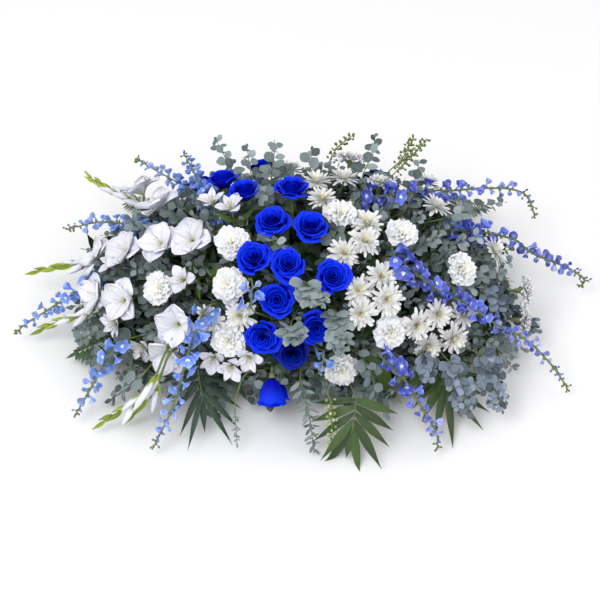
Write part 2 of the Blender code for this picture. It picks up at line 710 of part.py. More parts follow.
def carnation(head, draw):
    """Ruffled layers: rings that stand up as crests and dip between them, cut in zigzags."""
    turn = draw.uniform(0, math.tau)
    angles = [turn + math.tau * k / CARNATION_SIDES for k in range(CARNATION_SIDES)]

    def rings_at(size):
        rings = [[head.at(CARNATION_CALYX * MM, angle, 0, size) for angle in angles]]
        for level, (radius, height, ruffle) in enumerate(CARNATION_LAYERS):
            ring = []
            for k, angle in enumerate(angles):
                wave = (ruffle * (1 if (k + level // 2) % 2 else -1)
                        * draw.uniform(RUFFLE_LEAST, RUFFLE_MOST))
                ring.append(head.at((radius + wave * RUFFLE_ACROSS) * MM, angle,
                                    (height + wave) * MM, size))
            rings.append(ring)
        return rings + [[head.at(0, 0, CARNATION_TOP * MM, size)]]
    whole_head(head, rings_at)


def mum(head, draw):
    """Two layers of strap petals, the tips of one between those of the other, and a disc."""
    turn = draw.uniform(0, math.tau)

    def star(tip_and_notch, first_tip, size):
        return [head.at(radius * MM, turn + math.tau * k / MUM_SIDES, height * MM, size)
                for k in range(MUM_SIDES)
                for radius, height in [tip_and_notch[(k + first_tip) % 2]]]

    def rings_at(size):
        return [star(MUM_LOWER, 0, size), star(MUM_WAIST, 0, size), star(MUM_UPPER, 1, size),
                [head.at(0, 0, MUM_DISC * MM, size)]]
    whole_head(head, rings_at)


def trumpet(head, root, sides):
    """Funnel from a root on the stem to pointed petals round an open throat."""
    def ring(shares, size):
        return [head.at(head.radius * radius, math.tau * k / sides, HEIGHT[head.kind] * height, size)
                for k in range(sides) for radius, height in [shares[k % 2]]]
    for size in TRUMPET_SIZES:
        neck = ring((TRUMPET_NECK, TRUMPET_NECK), size)
        rim = ring((TRUMPET_NOTCH, (1.0, 1.0)), size)
        throat = head.at(0, 0, HEIGHT[head.kind] * TRUMPET_THROAT, size)
        if add(head.owner, loft([[root], neck, rim, [throat]])):
            return


def alstroemeria(head, _draw):
    trumpet(head, head.base - head.facing * ROOT_BELOW, ALSTROEMERIA_SIDES)


def gladiolus_trumpet(head, paths):
    """A spike's trumpet, on a stalk of its own where the spike passes beside its mouth."""
    place = min((nearest_on(path, head.base) for path in paths),
                key=lambda point: (point - head.base).length)
    if (place - head.base).dot(head.facing) < 0:
        trumpet(head, place, GLADIOLUS_SIDES)
        return
    root = head.base - head.facing * ROOT_BELOW
    end = head.base + head.facing * STALK_INSIDE
    add(head.owner, tube([place, root, end], [STALK] * 3, TWIG_SIDES), must=True)
    trumpet(head, root, GLADIOLUS_SIDES)


def nearest_on(path, point):
    """The point of a path nearest to a point."""
    best = None
    for start, end in zip(path, path[1:]):
        run = end - start
        share = max(0.0, min(1.0, (point - start).dot(run) / run.length_squared))
        place = start + run * share
        if best is None or (place - point).length < (best - point).length:
            best = place
    return best


# Spikes and greens

BUD_WIDEST = 0.55         # share of a bud's length
FLORET_CORNERS, FLORET_REACH, FLORET_HOLLOW = 5, 15 * MM, 5 * MM
FLORET_SIZES = (1.0, 0.8)
FLORET_FIRST, FLORET_LESS = 1.1, 0.45      # size at the spike's foot, and what it loses to the tip
BUD_FIRST, BUD_LESS = 1.6, 0.7
LEAF_FIRST, LEAF_LESS = 1.1, 0.4
FIRST_FLORET, FLORET_STEP, FLORET_LEAN = 14 * MM, 33 * MM, 0.35
BUDS_FROM, BUD_STEP, BUD_LENGTH, BUD_RADIUS, TIP_OVERLAP = 0.78, 16 * MM, 10 * MM, 2.6 * MM, 2 * MM
SHEATHS_FROM, SHEATH_STEP, SHEATH_SIDE, SHEATH_LEAN = 0.35, 27 * MM, 1.2, 0.45
SHEATH_LENGTH, SHEATH_RADIUS, SHEATH_SIDES, SHEATH_LESS = 48 * MM, 8.5 * MM, 4, 0.5
BEADS_FROM, BEAD_STEP, BEAD_LEAN = 0.15, 22 * MM, 0.5
BEAD_LENGTH, BEAD_RADIUS = 12 * MM, 3.6 * MM
FIRST_LEAF, LEAF_STEP, LEAF_LEAN, LEAF_DROOP = 8 * MM, 32 * MM, 0.55, 0.3
LEAF_TURN = (0.2, 0.8)    # radians beyond half a turn
LEAF_LENGTH, ROUND_LEAF = 29 * MM, (0, 0.42, 0.40, 0)          # half widths as shares of length

PALM_PAIRS, PALM_FIRST, PALM_SPACING = 5, 0.03, 0.10           # shares of the palm's length
PALM_WIDEST, PALM_NARROWEST = math.radians(80), math.radians(20)
PALM_SHORTEST, PALM_LONGEST, PALM_HALF = 88 * MM, 118 * MM, 8.5 * MM
PALM_RIB, PALM_END, PALM_SHARES, PALM_BEND = 0.55, 0.5, (0, 0.75, 1.0, 0.8, 0), 0.25
FERN_STEP, FERN_LENGTH, FERN_WIDTH, FERN_SLOPE = 23 * MM, 58 * MM, 18 * MM, 0.7
FROND_RIB, FROND_RIB_HALF, FROND_BLADE, FROND_DROOP = 1.2 * MM, 2.2 * MM, 0.9 * MM, 0.12
FROND_FROM, FROND_SPAN = 0.2, 0.68         # part of a sine's arch that the leaflets' lengths follow
LEAFLET_SHARES, LEAFLET_LEAST = (1.0, 0.75, 0.5, 0.25), 8 * MM
BROAD_START, BROAD_KEEL, BROAD_DROOP = 2 * MM, 3 * MM, 0.4
BROAD_WIDTHS = (0, 17 * MM, 22 * MM, 15 * MM, 0)


def along(path, distance):
    """Place and direction at a distance along a path."""
    for start, end in zip(path, path[1:]):
        length = (end - start).length
        if distance <= length or end is path[-1]:
            return start.lerp(end, min(distance / length, 1.0)), (end - start) / length
        distance -= length


def length_of(path):
    return sum((b - a).length for a, b in zip(path, path[1:]))


def round_stem(ahead, angle):
    """Direction across a stem at an angle from its upper side."""
    side = ahead.cross(Vector((0, 0, 1))).normalized()
    up = side.cross(ahead)
    return up * math.cos(angle) + side * math.sin(angle)


def bud(root, out, length, radius, sides):
    """Bud with a few sides, pointed at its root on the stem and at its tip."""
    return tube([root, root + out * length * BUD_WIDEST, root + out * length], [0, radius, 0], sides)


def floret(root, out, reach, radius):
    """Small open flower: a cone from the stem to five corners round a hollow middle."""
    side = out.orthogonal().normalized()
    other = out.cross(side)
    rim = [root + out * reach + (side * math.cos(a) + other * math.sin(a)) * radius
           for a in (math.tau * k / FLORET_CORNERS for k in range(FLORET_CORNERS))]
    return loft([[root], rim, [root + out * (reach - FLORET_HOLLOW)]])


def delphinium(owner, path, draw):
    """Florets up the spike by the golden angle, smaller toward the tip, then buds."""
    total = length_of(path)
    distance, turn = FIRST_FLORET, draw.uniform(0, math.tau)
    while distance < total - BUD_STEP / 4:
        share = distance / total
        root, ahead = along(path, distance)
        turn += GOLDEN
        out = (round_stem(ahead, turn) + ahead * FLORET_LEAN).normalized()
        if share < BUDS_FROM:
            radius = FLORET_RADIUS * (FLORET_FIRST - FLORET_LESS * share)
            for trial in FLORET_SIZES:
                if add(owner, floret(root, out, FLORET_REACH * trial, radius * trial)):
                    break
            distance += FLORET_STEP
        else:
            add(owner, bud(root, out, BUD_LENGTH * (BUD_FIRST - BUD_LESS * share), BUD_RADIUS,
                           TWIG_SIDES))
            distance += BUD_STEP
    tip, ahead = along(path, total)
    add(owner, bud(tip - ahead * TIP_OVERLAP, ahead, BUD_LENGTH, BUD_RADIUS, TWIG_SIDES))


def gladiolus(owner, path, _draw):
    """Green sheathed buds on both sides of the outer part of a spike."""
    total = length_of(path)
    distance, side = total * SHEATHS_FROM, 1
    while distance < total:
        root, ahead = along(path, distance)
        out = (round_stem(ahead, side * SHEATH_SIDE) * SHEATH_LEAN + ahead).normalized()
        size = 1 - SHEATH_LESS * distance / total
        add(owner, bud(root, out, SHEATH_LENGTH * size, SHEATH_RADIUS * size, SHEATH_SIDES))
        distance += SHEATH_STEP
        side = -side


def filler(owner, path, _draw):
    """Beads round a slim spike."""
    total = length_of(path)
    distance, turn = total * BEADS_FROM, 0.0
    while distance < total:
        root, ahead = along(path, distance)
        turn += GOLDEN
        out = (round_stem(ahead, turn) + ahead * BEAD_LEAN).normalized()
        add(owner, bud(root, out, BEAD_LENGTH, BEAD_RADIUS, TWIG_SIDES))
        distance += BEAD_STEP


def eucalyptus(owner, path, draw):
    """Round leaves on alternate sides of a twig, turning a little from one to the next."""
    total = length_of(path)
    distance, turn = FIRST_LEAF, draw.uniform(0, math.tau)
    while distance < total:
        root, ahead = along(path, distance)
        turn += math.pi + draw.uniform(*LEAF_TURN)
        out = (round_stem(ahead, turn) + ahead * LEAF_LEAN).normalized()
        up = (ahead - out * ahead.dot(out)).normalized()
        length = LEAF_LENGTH * (LEAF_FIRST - LEAF_LESS * distance / total)
        widths = [length * share for share in ROUND_LEAF]
        add(owner, arched(root, out, up, length, widths, LEAF_DROOP))
        distance += LEAF_STEP


def fern(owner, path, _draw):
    """One thin arched blade along a path, cut to its raised rib into leaflets on both sides."""
    total = length_of(path)
    count = int(total / FERN_STEP)
    ribs = [along(path, total * i / count) for i in range(count + 1)]
    ups = [round_stem(ahead, 0) for _, ahead in ribs]
    verts, faces = [], []
    for side in (-1, 1):
        notches, tips = [], []
        for i, (root, ahead) in enumerate(ribs):
            across = ahead.cross(ups[i]) * side
            notches.append(root + across * FROND_RIB_HALF)
            if i == count:
                break
            share = (i + 0.5) / count
            reach = FERN_LENGTH * math.sin(math.pi * (FROND_FROM + FROND_SPAN * share))
            course = (across + ahead * FERN_SLOPE - ups[i] * FROND_DROOP).normalized()
            tips.append(leaflet_tip(owner, notches[i], course, ahead * FERN_WIDTH, ups[i], reach))
        base = len(verts)
        verts += [root + up * FROND_RIB for (root, _), up in zip(ribs, ups)] + notches + tips
        for i in range(count):
            rib, notch, tip = base + i, base + count + 1 + i, base + 2 * count + 2 + i
            for face in ((rib, notch, notch + 1), (rib, notch + 1, rib + 1),
                         (notch, tip, notch + 1)):
                faces.append(face if side > 0 else tuple(reversed(face)))
    add(owner, thickened(verts, faces, FROND_BLADE))


def leaflet_tip(owner, notch, course, ahead, up, reach):
    """Where a leaflet ends: as far along its course as it is clear of other nodes."""
    for share in LEAFLET_SHARES:
        tip = notch + course * reach * share
        middle = notch.lerp(tip, 0.5) + ahead / 2
        if PLACED.fits(owner, *blade([notch, middle, tip], [up] * 3, [0, ahead.length / 2, 0])):
            return tip
    return notch + course * LEAFLET_LEAST


def thickened(verts, faces, thickness):
    """Closed blade from an open sheet, both of its faces split into triangles alike."""
    sheet = bmesh.new()
    made = [sheet.verts.new(v) for v in verts]
    for face in faces:
        sheet.faces.new([made[i] for i in face])
    bmesh.ops.remove_doubles(sheet, verts=sheet.verts, dist=0.01 * MM)
    sheet.normal_update()
    sheet.verts.index_update()
    count = len(sheet.verts)
    top = [v.co.copy() for v in sheet.verts]
    under = [v.co - v.normal * thickness for v in sheet.verts]
    skin = [tuple(v.index for v in face.verts) for face in sheet.faces]
    closed = skin + [tuple(i + count for i in reversed(face)) for face in skin]
    for edge in sheet.edges:
        if len(edge.link_faces) == 1:
            loop = edge.link_loops[0]
            a, b = loop.vert.index, loop.link_loop_next.vert.index
            closed += [(b, a, a + count), (b, a + count, b + count)]
    sheet.free()
    return outward(top + under, closed)


def palm(owner, path, _draw):
    """Lance-shaped leaflets that fan out from the lower part of a rib, in pairs and one at its end."""
    total = length_of(path)
    rib = [along(path, total * share)[0] for share in (0, PALM_RIB / 2, PALM_RIB)]
    add(owner, tube(rib, [FROND_STEM, FROND_STEM, FROND_STEM * TAPER], TWIG_SIDES), must=True)
    for pair in range(PALM_PAIRS):
        share = pair / (PALM_PAIRS - 1)
        root, ahead = along(path, total * (PALM_FIRST + PALM_SPACING * pair))
        up = round_stem(ahead, 0)
        lean = PALM_WIDEST + (PALM_NARROWEST - PALM_WIDEST) * share
        for side in (-1, 1):
            across = ahead.cross(up) * side
            course = ahead * math.cos(lean) + across * math.sin(lean)
            palm_leaflet(owner, root, course, up, PALM_SHORTEST + (PALM_LONGEST - PALM_SHORTEST) * share)
    root, ahead = along(path, total * PALM_END)
    palm_leaflet(owner, root, ahead, round_stem(ahead, 0), total * (1 - PALM_END))


def palm_leaflet(owner, root, course, up, reach):
    """A leaflet as long as it is clear of other nodes."""
    for share in LEAFLET_SHARES:
        widths = [PALM_HALF * width for width in PALM_SHARES]
        if add(owner, arched(root, course, up, reach * share, widths, PALM_BEND, FROND_BLADE)):
            break


def broad(owner, path, _draw):
    """One wide ribbed leaf along the path."""
    start, _ = along(path, BROAD_START)
    ahead = (path[-1] - path[0]).normalized()
    add(owner, arched(start, ahead, round_stem(ahead, 0), length_of(path), BROAD_WIDTHS,
                      BROAD_DROOP, BROAD_KEEL))


GROW = {"light": delphinium, "deep": delphinium, "gladiolus": gladiolus, "filler": filler,
        "eucalyptus": eucalyptus, "palm": palm, "fern": fern, "broad": broad}


# Holder

def box(corner, far):
    """Closed box between two corners."""
    verts = [Vector((x, y, z)) for z in (corner[2], far[2])
             for x, y in ((corner[0], corner[1]), (far[0], corner[1]), (far[0], far[1]),
                          (corner[0], far[1]))]
    return loft([verts[:4], verts[4:]])


def cage_bars():
    """Corners of the bars: hoops over the foam with feet in the tray, and two rails."""
    inner = BRICK_WIDTH / 2 + FIT
    outer = inner + CAGE_WIRE
    half = CAGE_WIRE / 2
    top = BRICK_TOP + FIT
    bars = []
    for x in CAGE_HOOPS:
        bars.append(((x - half, -outer, top), (x + half, outer, top + CAGE_WIRE)))
        for sign in (-1, 1):
            low, high = sorted((sign * inner, sign * outer))
            bars.append(((x - half, low, BRICK_BOTTOM), (x + half, high, top + half)))
    for sign in (-1, 1):
        low, high = sorted((sign * inner, sign * outer))
        bars.append(((CAGE_HOOPS[0], low, CAGE_RAIL_HEIGHT),
                     (CAGE_HOOPS[-1], high, CAGE_RAIL_HEIGHT + CAGE_WIRE)))
    return bars


def reserve_holder():
    """Keep stems off the cage, and leaves off the cage, the foam and the tray."""
    for corner, far in cage_bars():
        low, high = Vector(corner), Vector(far)
        middle = (low + high) / 2
        half = Vector([max((high - low)[k] / 2 - CAGE_WIRE / 2, 0) for k in range(3)])
        PLACED.add_run("foam_cage", middle - half, middle + half, CAGE_WIRE * 0.75)
        PLACED.add_skin("foam_cage", *box(corner, far))
    half_length, half_width = TRAY_LENGTH / 2, TRAY_WIDTH / 2
    PLACED.add_skin("saddle_tray", *box((-half_length, -half_width, 0),
                                        (half_length, half_width, TRAY_HEIGHT)))
    for sign in (-1, 1):
        PLACED.add_run("saddle_tray", Vector((-half_length, sign * half_width, TRAY_HEIGHT - 2 * MM)),
                       Vector((half_length, sign * half_width, TRAY_HEIGHT - 2 * MM)), 3 * MM)
    foam_length = BRICK_LENGTH + BRICK_GAP / 2
    PLACED.add_skin("foam", *box((-foam_length, -BRICK_WIDTH / 2, BRICK_BOTTOM),
                                 (foam_length, BRICK_WIDTH / 2, BRICK_TOP)))


# Objects

def material(kind):
    """Principled material of a kind, made once."""
    found = bpy.data.materials.get(kind)
    if found:
        return found
    made = bpy.data.materials.new(kind)
    made.use_nodes = True
    shader = made.node_tree.nodes["Principled BSDF"]
    shader.inputs["Base Color"].default_value = (*COLOURS[kind], 1)
    shader.inputs["Roughness"].default_value = 0.45 if kind in ("tray", "cage") else 0.65
    shader.inputs["Metallic"].default_value = 0
    return made


def new_object(name, verts, faces, collection):
    mesh = bpy.data.meshes.new(name)
    mesh.from_pydata([tuple(v) for v in verts], [], faces)
    made = bpy.data.objects.new(name, mesh)
    collection.objects.link(made)
    return made


def boolean(target, tools, operation, solver):
    """Apply one Boolean of a collection of tools to a target, then remove the tools."""
    shelf = bpy.data.collections.new(target.name + "_tools")
    bpy.context.scene.collection.children.link(shelf)
    for i, (verts, faces) in enumerate(tools):
        tool = new_object(f"{target.name}_tool_{i}", verts, faces, shelf)
        tool.hide_render = True
        tool.display_type = "WIRE"
    modifier = target.modifiers.new("Boolean", "BOOLEAN")
    modifier.operation = operation
    modifier.operand_type = "COLLECTION"
    modifier.collection = shelf
    modifier.solver = solver
    bpy.context.view_layer.update()
    result = bpy.data.meshes.new_from_object(
        target.evaluated_get(bpy.context.evaluated_depsgraph_get()))
    target.modifiers.remove(modifier)
    target.data = result
    for tool in list(shelf.objects):
        bpy.data.objects.remove(tool, do_unlink=True)
    bpy.data.collections.remove(shelf)


def triangles_of(mesh):
    work = bmesh.new()
    work.from_mesh(mesh)
    bmesh.ops.triangulate(work, faces=work.faces)
    points = [vert.co.copy() for vert in work.verts]
    faces = [tuple(vert.index for vert in face.verts) for face in work.faces]
    work.free()
    return points, faces


def largest_body(faces):
    """The faces of the largest body; the others are scraps and the walls of sealed hollows."""
    sharing = {}
    for index, face in enumerate(faces):
        for a, b in zip(face, face[1:] + face[:1]):
            sharing.setdefault(frozenset((a, b)), []).append(index)
    beside = [[] for _ in faces]
    for shared in sharing.values():
        for index in shared:
            beside[index] += shared
    left = set(range(len(faces)))
    bodies = []
    while left:
        body, rim = [], [left.pop()]
        while rim:
            index = rim.pop()
            body.append(index)
            for other in beside[index]:
                if other in left:
                    left.remove(other)
                    rim.append(other)
        bodies.append(body)
    return [faces[index] for index in max(bodies, key=len)]


class Thinning:
    """A closed skin of triangles, in which needless points are merged into a neighbour."""

    def __init__(self, points, faces):
        self.points = points
        self.faces = dict(enumerate(faces))
        self.around = [set() for _ in points]
        for index, face in self.faces.items():
            for corner in face:
                self.around[corner].add(index)

    def beside(self, point):
        return {corner for index in self.around[point] for corner in self.faces[index]} - {point}

    def edges(self):
        """Pairs of neighbouring points, the nearest first."""
        pairs = {tuple(sorted((face[i], face[i - 1]))) for face in self.faces.values()
                 for i in range(3)}
        return sorted(pairs, key=lambda pair: (
            (self.points[pair[0]] - self.points[pair[1]]).length, pair))

    def keeps_form(self, gone, kept):
        """Whether the faces round a point stay in place when it is merged into another."""
        shift = self.points[kept] - self.points[gone]
        if shift.length < TINY:
            return True
        for index in self.around[gone]:
            face = self.faces[index]
            if kept in face:
                continue
            before = normal_of([self.points[corner] for corner in face])
            after = normal_of([self.points[kept if corner == gone else corner] for corner in face])
            if after.length == 0:
                return False
            if before.length > 0 and (abs(before.dot(shift)) > FLATTEN
                                      or before.dot(after) < LEAST_COSINE):
                return False
        return True

    def merge(self, gone, kept):
        for index in self.around[gone]:
            face = self.faces[index]
            if kept in face:
                for corner in face:
                    if corner != gone:
                        self.around[corner].discard(index)
                del self.faces[index]
            else:
                self.faces[index] = tuple(kept if corner == gone else corner for corner in face)
                self.around[kept].add(index)
        self.around[gone] = set()

    def sweep(self):
        """Merge over every edge once; whether any was merged."""
        merged = False
        for a, b in self.edges():
            if b not in self.beside(a) or len(self.beside(a) & self.beside(b)) != 2:
                continue
            for gone, kept in ((a, b), (b, a)):
                if self.keeps_form(gone, kept):
                    self.merge(gone, kept)
                    merged = True
                    break
        return merged

    def result(self):
        used = sorted({corner for face in self.faces.values() for corner in face})
        new = {corner: i for i, corner in enumerate(used)}
        return ([self.points[corner] for corner in used],
                [tuple(new[corner] for corner in face) for face in self.faces.values()])


def normal_of(corners):
    """Unit normal of a triangle, or no vector where it is too thin to have one."""
    a, b, c = corners
    normal = (b - a).cross(c - a)
    longest = max((b - a).length, (c - b).length, (a - c).length)
    return normal.normalized() if normal.length > longest * TINY / 4 else Vector()


def thin(mesh):
    """Keep a mesh's largest body, with fewer triangles."""
    points, faces = triangles_of(mesh)
    thinning = Thinning(points, largest_body(faces))
    while thinning.sweep():
        pass
    points, faces = thinning.result()
    mesh.clear_geometry()
    mesh.from_pydata([tuple(point) for point in points], [], faces)


def finish_object(made, kind, root):
    made.data.materials.clear()
    made.data.materials.append(material(kind))
    made.data.shade_smooth()
    made.data.set_sharp_from_angle(angle=math.radians(35))
    made.parent = root


def fuse(owner, kind, root):
    """One object from a node's pieces."""
    pieces = PARTS[owner]
    made = new_object(owner, *pieces[0], bpy.context.scene.collection)
    if len(pieces) > 1:
        boolean(made, pieces[1:], "UNION", "MANIFOLD")
    thin(made.data)
    finish_object(made, kind, root)


def make_holder(root):
    scene = bpy.context.scene.collection
    half_length, half_width = TRAY_LENGTH / 2, TRAY_WIDTH / 2
    tray = new_object("saddle_tray", [], [], scene)
    work = bmesh.new()
    bmesh.ops.create_cube(work, size=1)
    bmesh.ops.scale(work, verts=work.verts, vec=(TRAY_LENGTH, TRAY_WIDTH, TRAY_HEIGHT))
    bmesh.ops.translate(work, verts=work.verts, vec=(0, 0, TRAY_HEIGHT / 2))
    upright = [e for e in work.edges if abs(e.verts[0].co.z - e.verts[1].co.z) > TRAY_HEIGHT / 2]
    bmesh.ops.bevel(work, geom=upright, offset=TRAY_CORNER, segments=3, affect="EDGES", profile=0.5)
    top = [face for face in work.faces if face.normal.z > 0.9]
    bmesh.ops.inset_region(work, faces=top, thickness=TRAY_WALL)
    bmesh.ops.translate(work, verts=top[0].verts, vec=(0, 0, TRAY_WALL - TRAY_HEIGHT))
    work.to_mesh(tray.data)
    work.free()
    finish_object(tray, "tray", root)

    holes = []
    for path, radius, sides in STANDING:
        start = path[0] + (path[0] - path[1]).normalized() * 2 * FIT
        course = [start] + path[1:3 if path[1].z < BRICK_TOP + HOLE_MARGIN else 2]
        gap = FIT / math.cos(math.pi / sides)
        holes.append(tube(course, [radius + gap] * len(course), sides))
    for sign, name in ((-1, "foam_brick_left"), (1, "foam_brick_right")):
        near, far = sorted((sign * BRICK_GAP / 2, sign * (BRICK_GAP / 2 + BRICK_LENGTH)))
        brick = new_object(name, *box((near, -BRICK_WIDTH / 2, BRICK_BOTTOM),
                                      (far, BRICK_WIDTH / 2, BRICK_TOP)), scene)
        boolean(brick, holes, "DIFFERENCE", "MANIFOLD")
        thin(brick.data)
        finish_object(brick, "foam", root)

    bars = [box(corner, far) for corner, far in cage_bars()]
    PARTS["foam_cage"] = bars
    fuse("foam_cage", "cage", root)


Group = namedtuple("Group", "table kind stem sides fork")
GROUPS = (Group(ROSES, "rose", ROSE_STEM, 4, 0.4),
          Group(CARNATIONS, "carnation", CARNATION_STEM, 3, 0.4),
          Group(MUMS, "mum", MUM_STEM, 3, 0.5),
          Group(TRUMPETS, "trumpet", ALSTROEMERIA_STEM, 3, 0.55))
SHAPES = {"rose": rose, "carnation": carnation, "mum": mum, "trumpet": alstroemeria}
STEM = {"gladiolus": GLADIOLUS_STEM, "light": DELPHINIUM_STEM, "deep": DELPHINIUM_STEM,
        "filler": FILLER_STEM, "eucalyptus": TWIG_STEM, "palm": FROND_STEM, "fern": FROND_STEM,
        "broad": FROND_STEM}
SPIKE_FORK, GREEN_FORK = 0.7, 0.6
BARE = ("palm", "fern", "broad")
STEM_ROOM = {"rose": 0.96, "carnation": 0.96, "mum": 0.85, "gladiolus": 0.8, "trumpet": 0.75}


def all_heads():
    """Every bloom, told its kind and the node it belongs to."""
    heads = []
    for group in GROUPS:
        for owner, blooms in group.table.items():
            for head in blooms:
                head.kind, head.owner = group.kind, owner
                heads.append(head)
    for owner, spike in SPIKES.items():
        for head in spike.florets:
            head.kind, head.owner = "gladiolus", owner
            heads.append(head)
    return heads


def main():
    for old in list(bpy.data.objects):
        bpy.data.objects.remove(old, do_unlink=True)
    root = bpy.data.objects.new("casket_spray", None)
    bpy.context.scene.collection.objects.link(root)

    reserve_holder()
    heads = all_heads()
    settle(heads)
    for head in heads:
        PLACED.add_run(head, head.centre, head.centre, STEM_ROOM[head.kind] * head.radius)

    kinds, grow_along = {}, {}
    for group in GROUPS:
        for owner, blooms in group.table.items():
            kinds[owner] = group.kind
            bloom_stems(owner, blooms, group.stem, group.sides, group.fork)
    for table, fork in ((SPIKES, SPIKE_FORK), (GREENS, GREEN_FORK)):
        for owner, growth in table.items():
            kinds[owner] = growth.kind
            grow_along[owner] = forked_stems(owner, growth.paths, STEM[growth.kind], fork,
                                             growth.kind in BARE)

    for i, head in enumerate(heads):
        if head.kind == "gladiolus":
            gladiolus_trumpet(head, grow_along[head.owner])
        else:
            SHAPES[head.kind](head, random.Random(f"{head.owner} {i}"))
    for owner, paths in grow_along.items():
        draw = random.Random(owner)
        for path in paths:
            GROW[kinds[owner]](owner, path, draw)

    for owner in PARTS:
        fuse(owner, kinds[owner], root)
    make_holder(root)


if __name__ == "__main__":
    main()
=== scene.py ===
"""Casket spray of blue roses, white blooms and blue spikes, dressed round its packed solids.

Metres, +Z up, +X to the right and +Y to the back, as in the packed frame. Blooms, stems and spikes
stand where the solids have them: the tables and the rules that place them are the same there.
"""
import random
from collections import namedtuple
from math import copysign, cos, hypot, pi, radians, sin, sqrt, tau

import bpy
import numpy as np
from bpy.props import FloatProperty, FloatVectorProperty, IntProperty, PointerProperty
from bpy.types import NodeSocket, Operator, Panel, PropertyGroup
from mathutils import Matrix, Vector


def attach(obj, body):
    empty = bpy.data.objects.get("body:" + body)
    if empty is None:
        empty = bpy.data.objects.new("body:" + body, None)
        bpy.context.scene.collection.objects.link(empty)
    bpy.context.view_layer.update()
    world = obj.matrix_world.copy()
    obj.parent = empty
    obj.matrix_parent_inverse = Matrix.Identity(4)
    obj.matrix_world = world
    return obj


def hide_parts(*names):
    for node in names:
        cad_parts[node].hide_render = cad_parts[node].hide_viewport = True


bl_info = {
    "name": "Casket spray",
    "version": (1, 0, 0),
    "blender": (4, 5, 0),
    "location": "View3D > Sidebar > Casket spray",
    "description": "Makes the blooms, spikes and greens of a casket spray round its solids",
    "category": "Object",
}

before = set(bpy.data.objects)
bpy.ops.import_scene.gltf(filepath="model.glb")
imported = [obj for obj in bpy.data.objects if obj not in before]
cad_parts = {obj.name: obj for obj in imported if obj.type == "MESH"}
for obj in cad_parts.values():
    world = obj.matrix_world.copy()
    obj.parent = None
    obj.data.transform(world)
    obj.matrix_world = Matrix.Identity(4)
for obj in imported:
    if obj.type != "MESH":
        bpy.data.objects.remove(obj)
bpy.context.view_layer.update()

MM = 0.001
FIT = 0.35 * MM  # gap round what stands in a hole or lies on a face
GOLDEN = radians(137.5)

# The front view
FRONT_ANGLE = radians(50)
VIEW_CENTRE = Vector((0, -0.04, 0.10))
VIEW_DISTANCE = 3.0
VIEW_WIDTH = 1.26
UP_IN_VIEW = Vector((0, sin(FRONT_ANGLE), cos(FRONT_ANGLE)))
EYE = VIEW_CENTRE + VIEW_DISTANCE * Vector((0, -cos(FRONT_ANGLE), sin(FRONT_ANGLE)))

# The dome on which the middles of the blooms lie
DOME_CENTRE = Vector((0, 0, 0.07))
DOME_LENGTH, DOME_DEPTH, DOME_HEIGHT = 0.46, 0.27, 0.26

# Holder
TRAY_LENGTH, TRAY_WIDTH, TRAY_HEIGHT = 0.476, 0.120, 0.035
TRAY_WALL = 2.5 * MM
BRICK_WIDTH, BRICK_HEIGHT = 0.108, 0.080
BRICK_BOTTOM = TRAY_WALL + FIT
BRICK_TOP = BRICK_BOTTOM + BRICK_HEIGHT
CAGE_WIRE = 2.5 * MM
CAGE_HOOPS = (-0.225, 0, 0.225)
CAGE_RAIL_HEIGHT = 0.080

# Where stems end in the foam, as shares of the place that they come from
INNER_SHARE_X, INNER_SHARE_Y = 0.38, 0.15
INNER_HEIGHT = 0.050
INNER_LIMIT_X, INNER_LIMIT_Y = 0.216, 0.040
INNER_LEAST_X = 0.010
STEM_GAP = 1.2 * MM
ROUTE_TRIES = 400
ROUTE_REACH = Vector((45, 22, 45)) * MM  # furthest that a stem moves aside to be clear
BEND_SHARE = 0.6  # place of a stem's bend on its way from the foam
SIGHT_SHIFTS, SIGHT_STEP = 17, 5 * MM  # moves along the sight tried for a point of a spike
FORK_HEIGHT = 22 * MM  # least height over the foam at which a stem forks
JOINT_DEPTH = 20 * MM  # from the blooms down to the line on which their stems fork
JOINT_OVERLAP = 3 * MM  # length that a branch runs inside its trunk
NECK_BELOW, NECK_INSIDE = 16 * MM, 4 * MM  # straight end of a stem, below and inside its bloom
BARE_OVERLAP = 9 * MM  # length that a stem runs inside the frond it bears
BLOOM_BRANCH, TWIG_BRANCH, TAPER = 0.8, 0.75, 0.4  # shares of a stem's radius

# Radius of each kind's stem
STEM = {"rose": 2.6 * MM, "carnation": 2.1 * MM, "mum": 2.0 * MM, "trumpet": 2.3 * MM,
        "gladiolus": 3.4 * MM, "light": 3.0 * MM, "deep": 3.0 * MM, "filler": 1.8 * MM,
        "eucalyptus": 1.7 * MM, "palm": 2.0 * MM, "fern": 2.0 * MM, "broad": 2.0 * MM}

# A bloom's radius and height, and the room it keeps from other blooms and from stems, as shares of
# its radius
Bloom = namedtuple("Bloom", "radius height room stem_room")
BLOOM = {"rose": Bloom(35 * MM, 46 * MM, 0.97, 0.96),
         "carnation": Bloom(34 * MM, 34 * MM, 0.97, 0.96),
         "mum": Bloom(28 * MM, 14 * MM, 0.86, 0.85),
         "gladiolus": Bloom(38 * MM, 30 * MM, 0.95, 0.80),
         "trumpet": Bloom(26 * MM, 34 * MM, 0.80, 0.75)}

GROUND = 3 * MM  # lowest that a leaf hangs


def sight(s, t):
    """Direction from the eye to the place s, t of the front view, in mm right and up."""
    place = VIEW_CENTRE + Vector((s * MM, 0, 0)) + UP_IN_VIEW * (t * MM)
    return (place - EYE).normalized()


def at_height(s, t, height):
    """The point at a height in mm that is seen at s, t."""
    ray = sight(s, t)
    return EYE + ray * ((height * MM - EYE.z) / ray.z)


def to_dome(vector):
    """A vector in a space in which the dome is a ball of radius 1."""
    return Vector((vector.x / DOME_LENGTH, vector.y / DOME_DEPTH, vector.z / DOME_HEIGHT))


